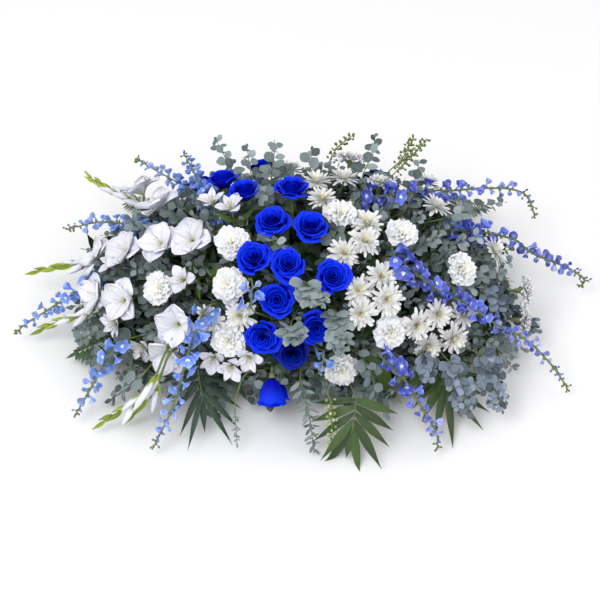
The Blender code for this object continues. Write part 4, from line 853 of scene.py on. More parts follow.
# Petals, their lean in degrees, length, half width, height of their roots and bend
CARNATION_WHORLS = ((7, 90, 35, 15.5, 11, 0.10), (7, 80, 32, 15.0, 12, 0.20),
                    (7, 66, 28, 13.5, 13, 0.35), (6, 50, 23, 12.0, 13, 0.55),
                    (5, 32, 19, 10.0, 13, 0.80), (4, 12, 16, 8.0, 13, 1.00))
FAN_SHARES = (0.14, 0.36, 0.64, 0.90, 1.0, 0.96)
FAN_COLUMNS = 13
# Shares of a fan's length: its middle over its corners, its teeth, and how much they vary
FAN_CROWN, TOOTH, TOOTH_JITTER = 0.24, 0.022, 0.03


def carnation(skin, head, draw, look):
    """Whorls of fan-shaped petals with waved, finely toothed edges."""
    across = np.linspace(-1, 1, FAN_COLUMNS)
    for count, lean, length, half, height, bend in CARNATION_WHORLS:
        halves = [half * s for s in FAN_SHARES]
        teeth = [draw.uniform(-TOOTH_JITTER, TOOTH_JITTER) + (TOOTH if k % 2 else -TOOTH)
                 for k in range(FAN_COLUMNS)]
        whorl(skin, head, draw.uniform(0, tau), count, lean, length, halves, height, 0.25, draw,
              vary=0.12, bend=bend, cup=-0.05, ruffle=look.ruffle * draw.uniform(0.8, 1.2),
              waves=draw.uniform(1.7, 2.8), edge=-FAN_CROWN * across ** 2 + teeth,
              columns=FAN_COLUMNS, heart=(1 - lean / 90) ** 2)


# Petals, their lean in degrees, length and bend
MUM_WHORLS = ((16, 96, 30.5, 0.10), (16, 82, 29, -0.10), (15, 66, 26, -0.30), (12, 50, 21, -0.35),
              (11, 36, 15, -0.25))
STRAP_SHARES = (0.40, 0.66, 0.92, 1.0, 0.98, 0.66)
MUM_HEART_LEAN = 62  # petals that lean less are tinted as the heart


def mum(skin, head, draw, look):
    """Layers of grooved strap petals round a small close heart."""
    halves = [look.strap_half / MM * s for s in STRAP_SHARES]
    for count, lean, length, bend in MUM_WHORLS:
        whorl(skin, head, draw.uniform(0, tau), count, lean, length, halves, 2, 0.42, draw,
              vary=0.24, bend=bend, cup=0.40, edge=(-0.04, 0.0, -0.04),
              heart=max(0, 1 - lean / MUM_HEART_LEAN))
    whorl(skin, head, draw.uniform(0, tau), 14, 30, 10, (0.9, 1.6, 1.7, 1.0), 4, 0.3, draw,
          bend=-0.4, heart=1.0)


# Half widths, lean in degrees and bend of outer and inner petals, their ruffle, and the stamens
LilyForm = namedtuple("LilyForm", "halves leans bends ruffle stamens")
GLADIOLUS = LilyForm(((3, 9, 16, 22, 25, 23, 14, 2), (3, 8, 14, 20, 23, 21, 13, 2)),
                     (22, 15), (1.35, 1.05), 5.6, 3)
ALSTROEMERIA = LilyForm(((1.6, 3.4, 6, 9.5, 12, 11.5, 8, 2), (1.4, 2.6, 4.2, 6.4, 8, 7.4, 4.6, 1)),
                        (16, 11), (1.1, 0.9), 1.6, 5)
ALSTROEMERIA_PETAL = 40
STAMEN_SHARE, STAMEN_SPREAD = 0.55, 4 * MM  # length as a share of a petal's, and reach to a side
INNER_HEART = 0.12  # tells inner petals, which have freckles


def lily(skin, head, draw, length, form):
    """Six petals in two threes, funnel-shaped below and spread above, round the stamens."""
    turn = draw.uniform(0, tau)
    for inner in (0, 1):
        whorl(skin, head, turn + inner * pi / 3, 3, form.leans[inner], length,
              form.halves[inner], -2, 0.05, draw, bend=form.bends[inner], cup=0.14,
              ruffle=form.ruffle * MM, waves=draw.uniform(2.3, 3.3), columns=11, early=0.7,
              heart=INNER_HEART * inner)
    base, side, other, facing = frame_of(head)
    rise = facing * (length * STAMEN_SHARE * MM)
    for k in range(form.stamens):
        angle = tau * k / form.stamens + draw.uniform(-0.4, 0.4)
        spread = (side * cos(angle) + other * sin(angle)) * STAMEN_SPREAD
        end = base + rise + spread
        rod(skin, [base + spread * 0.2, base + (rise + spread) * 0.6, end],
            [0.5 * MM, 0.4 * MM, 0.4 * MM], 4, heart=0.8)
        bud(skin, end, facing, 4.5 * MM, 1.0 * MM, 5, heart=1.0)


# Spikes and greens

# Sepals, and petals of the heart: how many, and their length and half widths by the floret's radius
SEPALS, SEPAL_LENGTH, SEPAL_HALVES = 5, 1.08, np.array((0.12, 0.32, 0.46, 0.47, 0.18))
EYE_PETALS, EYE_LENGTH, EYE_HALVES = 3, 0.42, np.array((0.06, 0.16, 0.15, 0.05))
SHUT_LEAN, OPEN_LEAN = 12, 70  # degrees between a sepal and the way its floret faces


def floret(skin, root, out, draw, radius, openness, pale):
    """Five pointed sepals, spread or closed to a bell, with a small white heart and a spur."""
    out = np.asarray(out)
    side = np.cross(out, ASIDE)
    side /= np.linalg.norm(side)
    other = np.cross(out, side)
    turn = draw.uniform(0, tau)
    lean = SHUT_LEAN + (OPEN_LEAN - SHUT_LEAN) * openness
    own = draw.random()
    for k in range(SEPALS):
        ahead, up = leaning(side, other, out, turn + tau * k / SEPALS,
                            radians(lean + draw.uniform(-6, 6)))
        ribbon(skin, root + ahead * radius * 0.05, ahead, up, radius * SEPAL_LENGTH,
               SEPAL_HALVES * radius, bend=-0.9 + 0.95 * openness, cup=0.30, columns=5, draw=own,
               heart=pale)
    for k in range(EYE_PETALS):
        ahead, up = leaning(side, other, out, turn + tau * k / EYE_PETALS, radians(25))
        ribbon(skin, root + out * radius * 0.08, ahead, up, radius * EYE_LENGTH, EYE_HALVES * radius,
               bend=0.6, draw=own, heart=1.0)
    rod(skin, [root + out * radius * 0.1, root - out * radius * 0.5, root - out * radius * 0.8],
        [radius * 0.16, radius * 0.10, radius * 0.03], 5, draw=own)


# Where, as a share of a spike, delphinium florets end, buds turn green and florets start to pale
BUDS_FROM, GREEN_FROM, PALE_FROM = 0.84, 0.93, 0.4
BUD_STEP, BUD_LENGTH, BUD_RADIUS = 5.5 * MM, 10 * MM, 3.6 * MM


def delphinium(skin, stems, path, draw, look, closed):
    """Florets up the spike by the golden angle, on thin stalks, closing to green buds at the tip.

    closed is how far its lowest florets are from open.
    """
    total = length_of(path)
    distance, turn = 4 * MM, draw.uniform(0, tau)
    while distance < total:
        share = distance / total
        root, ahead = along(path, distance)
        turn += GOLDEN + draw.uniform(-0.6, 0.6)
        out = (round_stem(ahead, turn) + ahead * (0.3 + 0.5 * share)).normalized()
        stalk = (13 - 7 * share) * draw.uniform(0.6, 1.5) * MM
        end = root + out * stalk
        rod(stems, [root, root + out * stalk * 0.5 + ahead * MM, end],
            [0.7 * MM, 0.5 * MM, 0.7 * MM], 4)
        bud(stems, root, (out + ahead).normalized(), draw.uniform(8, 12) * MM, 2.2 * MM, 5)
        if share < BUDS_FROM:
            radius = look.floret_radius * (1.15 - 0.5 * share) * draw.uniform(0.7, 1.15)
            openness = 1.0 - closed - 0.9 * share + draw.uniform(-0.35, 0.35)
            pale = draw.uniform(0.1, 1.3) * max(0.0, share - PALE_FROM)
            floret(skin, np.array(end), out, draw, radius, max(0.0, min(openness, 1.0)), pale)
            distance += look.floret_step * (1.0 - 0.25 * share) * draw.uniform(0.5, 1.5)
        else:
            held = stems if share > GREEN_FROM else skin
            size = 1.5 - share * 0.9
            bud(held, end, out, BUD_LENGTH * size, BUD_RADIUS * size, 6, draw=draw.random())
            distance += BUD_STEP
    tip, ahead = along(path, total)
    bud(stems, tip - ahead * MM, ahead, 6 * MM, 1.8 * MM, 6)


SHEATHS_FROM, WHITE_BUDS_TO = 0.28, 0.66  # shares of a gladiolus spike
SHEATH_HALVES = np.array((0.07, 0.115, 0.13, 0.11, 0.075, 0.04, 0.006))  # shares of its length
SHEATH_LEAN = 1.25  # angle from the upper side of the spike to each side


def gladiolus(sheaths, petals, path, draw, look):
    """Long folded sheaths close to a spike on both sides, white buds showing in the lower ones."""
    total = length_of(path)
    distance, side = total * SHEATHS_FROM, 1
    while distance < total:
        root, ahead = along(path, distance)
        beside = round_stem(ahead, side * SHEATH_LEAN + draw.uniform(-0.2, 0.2))
        out = (beside * 0.2 + ahead).normalized()
        length = look.sheath_length * (1.08 - 0.45 * distance / total)
        ribbon(sheaths, root, out, square_to(out, ahead), length, SHEATH_HALVES * length, bend=-0.12,
               cup=-0.75, columns=5, draw=draw.random())
        bud(sheaths, root + out * 2 * MM, out, length * 0.9, length * 0.085, 7, draw=draw.random(),
            heart=0.5)
        if distance < total * WHITE_BUDS_TO:
            bud(petals, root + out * 8 * MM, out, length * 0.98, length * 0.13, 8, draw=draw.random())
        distance += look.sheath_step
        side = -side


BEADS_FROM, BEAD_SHARE = 0.12, 0.38  # share of a filler spike, and a bead's radius by its length


def filler(skin, stems, path, draw, look):
    """Small beads on branched stalks, dense round a slim spike."""
    total = length_of(path)
    distance, turn = total * BEADS_FROM, 0.0
    while distance < total:
        root, ahead = along(path, distance)
        turn += GOLDEN
        out = (round_stem(ahead, turn) + ahead * 0.5).normalized()
        stalk = draw.uniform(3, 11) * MM * (1.25 - 0.7 * distance / total)
        rod(stems, [root, root + out * stalk], [0.7 * MM, 0.5 * MM], 4)
        size = look.bead_length * draw.uniform(0.75, 1.1)
        bud(skin, root + out * stalk * 0.9, out, size, size * BEAD_SHARE, 7, draw=draw.random())
        distance += look.bead_step
    tip, ahead = along(path, total)
    bud(skin, tip - ahead * MM, ahead, look.bead_length * 0.8, look.bead_length * 0.26, 6)


ROUND_HALVES = np.array((0.05, 0.30, 0.43, 0.47, 0.44, 0.30, 0.05))

# The leaves of a twig: their length, step and width as shares of the usual, the least and most of
# the draw that makes them paler, the share of the twig that is bare, how far the leaves lie flat, as
# a share, and their columns of points
Leafage = namedtuple("Leafage", "length step width dark pale bare flat columns")
ROUND = Leafage(1.0, 1.0, 1.0, 0.0, 1.0, 0.0, 0.6, 5)
SILVER = Leafage(1.0, 0.8, 0.95, 0.55, 1.0, 0.0, 0.7, 5)
PLUME = Leafage(0.85, 0.62, 0.98, 0.0, 1.0, 0.0, 0.75, 5)
LEAFAGE = {
    "eucalyptus_left": (SILVER, SILVER, ROUND, Leafage(1.5, 1.3, 1.0, 0.1, 0.5, 0.0, 0.6, 5), ROUND),
    "eucalyptus_middle": (ROUND, ROUND, SILVER, SILVER, SILVER),
    "eucalyptus_lower_right": (PLUME, PLUME, PLUME, PLUME),
    "eucalyptus_front": (ROUND, Leafage(0.95, 0.55, 0.42, 0.1, 0.8, 0.0, 0.3, 5),
                         Leafage(0.5, 0.55, 0.7, 0.7, 1.0, 0.5, 0.3, 5)),
}
FLATTENED = 0.75  # share of a flat leaf's rise above its twig that is pressed down


def leaf_course(ahead, turn, flat, draw):
    """The way a leaf leaves its twig, and the way its face looks: up, more so where it lies flat."""
    above = round_stem(ahead, 0)
    radial = round_stem(ahead, turn)
    radial = radial - above * (radial.dot(above) * flat * FLATTENED)
    out = (radial + ahead * draw.uniform(0.3, 0.8)).normalized()
    return out, square_to(out, above + ahead * draw.uniform(-1, 1) * (1.1 - flat))


def round_leaf(skin, stems, root, out, up, length, leafage, draw):
    """Eucalyptus leaf on a short stalk, nearly round, a little folded along its midrib."""
    stalk = 0.14 * length
    rod(stems, [root, root + out * stalk], [0.8 * MM, 0.5 * MM], 3)
    start = np.array(root + out * stalk * 0.9)
    halves = ROUND_HALVES * length * leafage.width * draw.uniform(0.85, 1.05)
    ribbon(skin, start, out, up, length, halves, bend=draw.uniform(0.0, 0.6),
           cup=draw.uniform(-0.12, 0.25), columns=leafage.columns,
           draw=draw.uniform(leafage.dark, leafage.pale))


def eucalyptus(skin, stems, path, draw, look, leafage):
    """Round leaves on both sides of a twig, turning a little from one pair to the next."""
    total = length_of(path)
    distance, turn = 6 * MM + leafage.bare * total, draw.uniform(0, tau)
    longest = look.leaf_length * leafage.length
    while distance < total:
        root, ahead = along(path, distance)
        turn += pi / 2 + draw.uniform(0.1, 0.6)
        for half in (0, pi):
            out, up = leaf_course(ahead, turn + half, leafage.flat, draw)
            length = longest * (1.08 - 0.45 * distance / total) * draw.uniform(0.8, 1.12)
            round_leaf(skin, stems, root, out, up, length, leafage, draw)
        distance += look.leaf_step * leafage.step * draw.uniform(0.85, 1.15)
    tip, ahead = along(path, total)
    round_leaf(skin, stems, tip - ahead * MM, ahead, round_stem(ahead, turn), longest * 0.5, leafage,
               draw)


FERN_STEP, FERN_LENGTH, FERN_HALF, FERN_SLOPE = 11.5 * MM, 58 * MM, 6.5 * MM, 0.7
PALM_PAIRS, LEFT_PALM_SLIM = 5, 0.7  # the second is the width of the left palm's leaflets by others'
PALM_WIDEST, PALM_NARROWEST = radians(80), radians(20)  # lean of the leaflets
PALM_SHORTEST, PALM_LONGEST, PALM_HALF, PALM_BEND = 88 * MM, 118 * MM, 9 * MM, 0.25
# Shares of a palm's length: its first pair, the step to the next, its rib and its last leaflet
PALM_FIRST, PALM_SPACING, PALM_RIB, PALM_END = 0.03, 0.10, 0.55, 0.5
LANCE = np.array((0.25, 0.62, 0.88, 1.0, 1.0, 0.90, 0.70, 0.45, 0.20, 0.03))


def lance_halves(rows, half):
    """Half widths of a lance-shaped leaf from root to tip."""
    return np.interp(np.linspace(0, 1, rows), np.linspace(0, 1, len(LANCE)), LANCE) * half


def fern(skin, stems, path, draw):
    """Lance-shaped leaflets on both sides of a rib, longest at its middle."""
    total = length_of(path)
    count = int(total / FERN_STEP)
    rib = [along(path, total * i / count)[0] for i in range(count + 1)]
    rod(stems, rib, [(1.9 - 1.3 * i / count) * MM for i in range(count + 1)], 6)
    for i in range(count + 1):
        root, ahead = along(path, total * (i + 0.3) / (count + 0.6))
        lift = round_stem(ahead, 0)
        share = i / count
        reach = FERN_LENGTH * sin(pi * (0.2 + 0.68 * share)) * draw.uniform(0.92, 1.04)
        for side in (-1, 1):
            across = ahead.cross(lift) * side
            slope = FERN_SLOPE * (0.75 + 0.7 * share)
            out = (across + ahead * slope - lift * draw.uniform(0.02, 0.22)).normalized()
            ribbon(skin, root + across * MM, out, square_to(out, lift), reach,
                   lance_halves(7, FERN_HALF), bend=0.35 * draw.uniform(0.6, 1.3), cup=-0.28,
                   columns=5, draw=draw.random())
    tip, ahead = along(path, total)
    ribbon(skin, tip, ahead, round_stem(ahead, 0), FERN_LENGTH * 0.5, lance_halves(7, FERN_HALF * 0.8),
           bend=0.2, cup=-0.2, columns=5, draw=draw.random())


def palm(skin, stems, path, draw, half):
    """Lance-shaped leaflets that fan out from the lower part of a rib, in pairs and one at its end."""
    total = length_of(path)
    rib = [along(path, total * PALM_RIB * i / 6)[0] for i in range(7)]
    rod(stems, rib, [(2.0 - 0.2 * i) * MM for i in range(7)], 6)

    def leaflet(root, course, up, reach):
        ribbon(skin, root, course, up, reach, lance_halves(12, half * draw.uniform(0.9, 1.1)),
               bend=PALM_BEND * draw.uniform(0.6, 1.4), cup=-0.22, columns=7, draw=draw.random())

    for pair in range(PALM_PAIRS):
        share = pair / (PALM_PAIRS - 1)
        root, ahead = along(path, total * (PALM_FIRST + PALM_SPACING * pair))
        up = round_stem(ahead, 0)
        for side in (-1, 1):
            lean = PALM_WIDEST + (PALM_NARROWEST - PALM_WIDEST) * share + draw.uniform(-0.06, 0.06)
            course = ahead * cos(lean) + ahead.cross(up) * side * sin(lean)
            reach = PALM_SHORTEST + (PALM_LONGEST - PALM_SHORTEST) * share
            leaflet(root, course, up, reach * draw.uniform(0.93, 1.03))
    root, ahead = along(path, total * PALM_END)
    leaflet(root, ahead, round_stem(ahead, 0), total * (1 - PALM_END))


BROAD_ROWS, BROAD_COLUMNS = 14, 21
BROAD_AT, BROAD_HALVES = (0, 0.25, 0.5, 0.75, 0.93, 1), (1.5, 17, 22, 18, 8, 0.6)


def broad(skin, path, draw):
    """One wide leaf with raised ribs along it."""
    start, _ = along(path, 2 * MM)
    ahead = (path[-1] - path[0]).normalized()
    halves = np.interp(np.linspace(0, 1, BROAD_ROWS), BROAD_AT, BROAD_HALVES) * MM
    ribbon(skin, start, ahead, round_stem(ahead, 0), length_of(path), halves, bend=0.4, cup=0.12,
           ruffle=0.9 * MM, waves=9, columns=BROAD_COLUMNS, draw=draw.random())


CORNER_REACH, CORNER_SHARE, CORNER_STEPS = 22 * MM, 0.4, 4  # the share is of a run's length


def rounded(path):
    """The path with its corners rounded."""
    points = [path[0]]
    for before, corner, after in zip(path, path[1:], path[2:]):
        back = min(CORNER_REACH, (corner - before).length * CORNER_SHARE)
        on = min(CORNER_REACH, (after - corner).length * CORNER_SHARE)
        first = corner + (before - corner).normalized() * back
        last = corner + (after - corner).normalized() * on
        for k in range(CORNER_STEPS + 1):
            t = k / CORNER_STEPS
            points.append(first * (1 - t) ** 2 + corner * 2 * t * (1 - t) + last * t ** 2)
    return points + [path[-1]]


def stem(stems, path, radius, tip):
    """A cut stem, its corners rounded and its radius narrowing to the tip on its last run."""
    points = rounded(path)
    reach = np.cumsum([0] + [(b - a).length for a, b in zip(points, points[1:])])
    last = reach[-1] - (path[-1] - path[-2]).length
    shares = np.clip((reach - last) / max(reach[-1] - last, MM), 0, 1)
    rod(stems, points, [radius + (tip - radius) * s for s in shares], 7)


# Leaves of a stem: where they start, as a share of it, and their step, length and half width
StemLeaves = namedtuple("StemLeaves", "start step length half")
STEM_LEAVES = {"rose": StemLeaves(0.35, 13 * MM, 44 * MM, 13 * MM),
               "carnation": StemLeaves(0.35, 15 * MM, 52 * MM, 7 * MM),
               "mum": StemLeaves(0.3, 13 * MM, 38 * MM, 12 * MM),
               "trumpet": StemLeaves(0.3, 12 * MM, 58 * MM, 10 * MM),
               "undergrowth": StemLeaves(0.4, 10 * MM, 50 * MM, 11 * MM)}
LEAVES_END = 0.9  # share of a stem beyond which it is bare, clear of the bloom


def leafed(skin, path, draw, leaves):
    """Plain leaves along a stem, by the golden angle."""
    total = length_of(path)
    distance, turn = total * leaves.start, draw.uniform(0, tau)
    while distance < total * LEAVES_END:
        root, ahead = along(path, distance)
        turn += GOLDEN
        out = (round_stem(ahead, turn) + ahead * draw.uniform(0.3, 0.9)).normalized()
        size = draw.uniform(0.75, 1.15)
        ribbon(skin, root, out, square_to(out, ahead), leaves.length * size,
               lance_halves(6, leaves.half * size), bend=draw.uniform(0.2, 0.8), cup=-0.2,
               draw=draw.random())
        distance += leaves.step


SHOOT_REACH = 15 * MM  # between a twig and a shoot beside it


def side_shoots(path):
    """A shoot on each side of a twig, that leaves it at its start and runs on beside it."""
    for side in (-1, 1):
        shoot = []
        for i, point in enumerate(path):
            _, ahead = along(path, length_of(path[:i + 1]) if i else 0)
            across = ahead.cross(round_stem(ahead, 0))
            shoot.append(point + across * (side * SHOOT_REACH * min(i, 1.5) / 1.5))
        shoot[-1] = shoot[-2].lerp(shoot[-1], 0.7)
        yield shoot


# Twigs between and round the blooms: how many, and how far they reach, as shares of the dome
UNDERGROWTH, UNDER_REACH, UNDER_EDGE = 360, (0.50, 0.96), 0.95
FILL_TWIGS, FILL_SPREAD, FILL_REACH = 260, (0.92, 1.03), 0.97
CREST_TWIGS, CREST_REACH, CREST_ANGLES = 46, (0.98, 1.07), (0.55, 1.05)
SKIRT_TWIGS, SKIRT_REACH, SKIRT_HEIGHTS = 110, (0.84, 1.04), (20 * MM, 95 * MM)
SKIRT_SQUARE = 0.20  # how much further the skirt reaches between the sides and the ends
DOME_FOOT = 0.12  # how far below the dome's middle its points go, as a share of its height
CREST_SPAN = 0.9  # share of the dome's half length along which its crest has twigs
TWIG_LOWEST, TWIG_SUNK = 14 * MM, 10 * MM  # lowest tip, and how deep twigs start in the foam
BLOOM_ROOM = 0.7  # share of a bloom's radius that twig tips keep out of


def dome_points(count):
    """Directions spread evenly over the upper half of the dome."""
    for k in range(count):
        height = (1 + DOME_FOOT) * (k + 0.5) / count - DOME_FOOT
        flat = sqrt(max(1 - height * height, 0))
        angle = k * GOLDEN
        yield Vector((DOME_LENGTH * flat * cos(angle), DOME_DEPTH * flat * sin(angle),
                      DOME_HEIGHT * height))


def crest_points(draw):
    """Offsets along the dome's edge as it is seen from the front, where it meets the backdrop."""
    for k in range(CREST_TWIGS):
        x = 2 * CREST_SPAN * (k + 0.5) / CREST_TWIGS - CREST_SPAN
        across = sqrt(1 - x * x) * draw.uniform(*CREST_REACH)
        angle = draw.uniform(*CREST_ANGLES)
        yield Vector((DOME_LENGTH * x, DOME_DEPTH * across * cos(angle),
                      DOME_HEIGHT * across * sin(angle)))


def skirt_points(draw):
    """Offsets round the dome's foot, low over the floor."""
    for k in range(SKIRT_TWIGS):
        angle = k * GOLDEN
        reach = draw.uniform(*SKIRT_REACH) * (1 + SKIRT_SQUARE * abs(sin(2 * angle)))
        yield Vector((DOME_LENGTH * reach * cos(angle), DOME_DEPTH * reach * sin(angle),
                      draw.uniform(*SKIRT_HEIGHTS) - DOME_CENTRE.z))


def fill_path(offset, share, draw):
    """From the foam out to a share of the way to a point offset from the dome's middle."""
    tip = DOME_CENTRE + offset * share
    tip.z = max(tip.z, TWIG_LOWEST)
    inner = inner_end(tip)
    inner.z = BRICK_TOP - TWIG_SUNK
    middle = inner.lerp(tip, 0.55) + Vector((0, 0, draw.uniform(10, 30) * MM))
    return [inner, middle, tip]


# Finishes

class Wiring:
    """Adds shader nodes to a tree by type, with values or links for their inputs."""

    def __init__(self, tree):
        self.tree = tree

    def add(self, kind, inputs=None, **settings):
        node = self.tree.nodes.new(kind if kind.startswith("Node") else f"ShaderNode{kind}")
        for name, value in settings.items():
            setattr(node, name, value)
        for name, value in (inputs or {}).items():
            if isinstance(value, NodeSocket):
                self.tree.links.new(value, node.inputs[name])
            else:
                node.inputs[name].default_value = value
        return node

    def link(self, socket, node, label):
        self.tree.links.new(socket, node.inputs[label])

    def maths(self, operation, *values):
        return self.add("Math", dict(enumerate(values)), operation=operation).outputs[0]

    def times(self, *values):
        return self.maths("MULTIPLY", *values)

    def times_plus(self, *values):
        return self.maths("MULTIPLY_ADD", *values)

    def mix(self, share, first, second):
        """From the first colour, which may be a link, to the second."""
        if not isinstance(first, NodeSocket):
            first = (*first, 1)
        return self.add("Mix", {0: share, 6: first, 7: (*second, 1)},
                        data_type="RGBA").outputs[2]

    def between(self, value, low, high):
        """0 to 1 as a value goes smoothly from low to high."""
        return self.add("MapRange", {0: value, 1: low, 2: high},
                        interpolation_type="SMOOTHSTEP").outputs[0]


def new_group(name, inputs, outputs):
    """An empty shader group with these sockets, its wiring, and its two ends."""
    tree = bpy.data.node_groups.new(name, "ShaderNodeTree")
    for label, kind, value in inputs:
        socket = tree.interface.new_socket(label, in_out="INPUT", socket_type=f"NodeSocket{kind}")
        socket.default_value = value
    for label, kind in outputs:
        tree.interface.new_socket(label, in_out="OUTPUT", socket_type=f"NodeSocket{kind}")
    wiring = Wiring(tree)
    return tree, wiring, wiring.add("NodeGroupInput").outputs, wiring.add("NodeGroupOutput")


def place_group(name):
    """Where a point is on its petal or leaf: along, across, off its middle, its draw and heart."""
    tree, w, _, end = new_group(name, (), (("Along", "Float"), ("Across", "Float"), ("Off", "Float"),
                                           ("Draw", "Float"), ("Heart", "Float")))
    place = w.add("Attribute", attribute_name="place")
    parts = w.add("SeparateColor", {0: place.outputs["Color"]})
    off = w.maths("ABSOLUTE", w.times(w.maths("SUBTRACT", parts.outputs[1], 0.5), 2.0))
    for label, socket in (("Along", parts.outputs[0]), ("Across", parts.outputs[1]), ("Off", off),
                          ("Draw", parts.outputs[2]), ("Heart", place.outputs["Alpha"])):
        w.link(socket, end, label)
    return tree


VEIN_SLANT = 0.4  # how much further along its leaf a slanting vein ends than it starts


def vein_group(name):
    """Veins that run along a petal or slant from a leaf's midrib, as height, and the midrib."""
    tree, w, given, end = new_group(
        name, (("Lengthwise", "Float", 9.0), ("Slanting", "Float", 0.0), ("Midrib", "Float", 0.06)),
        (("Height", "Float"), ("Midrib", "Float")))
    place = use(w, "Petal place", place_group)
    lengthwise = w.times(place["Across"], given["Lengthwise"])
    slant = w.maths("SUBTRACT", place["Along"], w.times(place["Off"], VEIN_SLANT))
    phase = w.times(w.maths("ADD", lengthwise, w.times(slant, given["Slanting"])), tau)
    ridge = w.times_plus(w.maths("SINE", phase), 0.5, 0.5)
    rib = w.times(w.between(place["Off"], given["Midrib"], 0.0), w.between(place["Along"], 1.0, 0.75))
    w.link(w.maths("ADD", w.times(ridge, 0.6), rib), end, "Height")
    w.link(rib, end, "Midrib")
    return tree


GRAIN_SCALE = 900.0


def mottle_group(name):
    """Slow and fine changes of tone over a surface, round 1, with a draw for each petal."""
    tree, w, given, end = new_group(
        name, (("Scale", "Float", 60.0), ("Amount", "Float", 0.12), ("Petal amount", "Float", 0.12)),
        (("Tone", "Float"), ("Grain", "Float")))
    place = use(w, "Petal place", place_group)
    spot = w.add("TexCoord").outputs["Object"]
    slow = w.add("TexNoise", {"Vector": spot, "Scale": given["Scale"], "Detail": 2.0})
    fine = w.add("TexNoise", {"Vector": spot, "Scale": GRAIN_SCALE, "Detail": 2.0})
    tone = w.times(w.maths("SUBTRACT", slow.outputs[0], 0.5), given["Amount"])
    own = w.times(w.maths("SUBTRACT", place["Draw"], 0.5), given["Petal amount"])
    w.link(w.maths("ADD", w.times_plus(tone, 2.0, 1.0), own), end, "Tone")
    w.link(fine.outputs[0], end, "Grain")
    return tree


def freckle_group(name):
    """Short dashes on the lower half of an alstroemeria's inner petals."""
    tree, w, _, end = new_group(name, (), (("Freckle", "Float"),))
    place = use(w, "Petal place", place_group)
    spot = w.add("CombineXYZ", {0: w.times(place["Across"], 9.0),
                                1: w.times(place["Along"], 13.0),
                                2: w.times(place["Draw"], 50.0)})
    cells = w.add("TexVoronoi", {"Vector": spot.outputs[0], "Scale": 1.0})
    dash = w.between(cells.outputs["Distance"], 0.34, 0.22)
    where = w.times(w.between(place["Along"], 0.62, 0.45), w.between(place["Along"], 0.15, 0.25))
    inner = w.between(place["Heart"], 0.05, 0.10)
    w.link(w.times(dash, w.times(where, inner)), end, "Freckle")
    return tree


def new_material(name, roughness):
    """A material, its Principled shader and the wiring of its tree."""
    made = bpy.data.materials.new(name)
    made.use_nodes = True
    shader = made.node_tree.nodes["Principled BSDF"]
    shader.inputs["Roughness"].default_value = roughness
    return made, shader, Wiring(made.node_tree)


def use(w, name, make, **values):
    """A group's node with some of its inputs set."""
    node = w.add("Group", node_tree=bpy.data.node_groups.get(name) or make(name))
    for label, value in values.items():
        node.inputs[label.replace("_", " ")].default_value = value
    return node.outputs


def scaled(colour, by):
    """A colour with each channel so many times as strong."""
    return [min(channel * by, 1) for channel in colour]


def coloured(w, shader, colour, tone):
    """Give a shader a colour, lighter or darker by a tone round 1."""
    toned = w.add("VectorMath", {0: colour, "Scale": tone}, operation="SCALE")
    w.link(toned.outputs[0], shader, "Base Color")


def bumped(w, shader, height, distance):
    bump = w.add("Bump", {"Height": height, "Distance": distance})
    w.link(bump.outputs[0], shader, "Normal")


def petal_finish(name, base, body, rim, heart, roughness=0.55, shine=0.35, lines=9.0,
                 depth=0.25 * MM, base_to=0.55, rim_from=0.72, side=0.0, rim_last=False,
                 fold_shade=0.07, amount=0.10, petal_amount=0.14, other=None, stripe=None,
                 freckle=None):
    """Petals that change colour from base to rim, in the bloom's heart, and some to another colour.

    base_to and rim_from are where along a petal its body starts and ends, side is how far the rim's
    colour goes down the sides, rim_last keeps it in the heart of the bloom too, folds is how dark
    the lines between veins are, partly vein colour and partly painted shade in the folds, and the
    amounts are those of mottling and between petals.
    """
    made, shader, w = new_material(name, roughness)
    shader.inputs["Specular IOR Level"].default_value = shine
    place = use(w, "Petal place", place_group)
    veins = use(w, "Veins", vein_group, Lengthwise=lines, Midrib=0.05)
    mottle = use(w, "Mottle", mottle_group, Amount=amount, Petal_amount=petal_amount)
    colour = w.mix(w.between(place["Along"], 0.05, base_to), base, body)
    if other:
        colour = w.mix(w.times(w.between(place["Draw"], 0.3, 0.9), 0.8), colour, other)
    # painted highlight: where side is above 0, the rim's colour goes along a petal's side edges
    painted_side_highlight = w.times(w.between(place["Off"], 0.82, 1.0), side)
    laid = [(w.maths("MAXIMUM", w.between(place["Along"], rim_from, 1.0), painted_side_highlight), rim),
            (w.times(place["Heart"], 0.85), heart)]
    for share, tint in reversed(laid) if rim_last else laid:
        colour = w.mix(share, colour, tint)
    if stripe:
        colour = w.mix(w.times(veins["Midrib"], 0.7), colour, stripe)
    if freckle:
        colour = w.mix(use(w, "Freckles", freckle_group)["Freckle"], colour, freckle)
    # partly vein colour, partly painted shade: lines between veins darkened as shade in folds
    vein_colour_and_crease_shade = w.times_plus(veins["Height"], -fold_shade, 1 + fold_shade / 2)
    coloured(w, shader, colour, w.times(mottle["Tone"], vein_colour_and_crease_shade))
    bumped(w, shader, w.times_plus(mottle["Grain"], 0.25, veins["Height"]), depth)
    return made


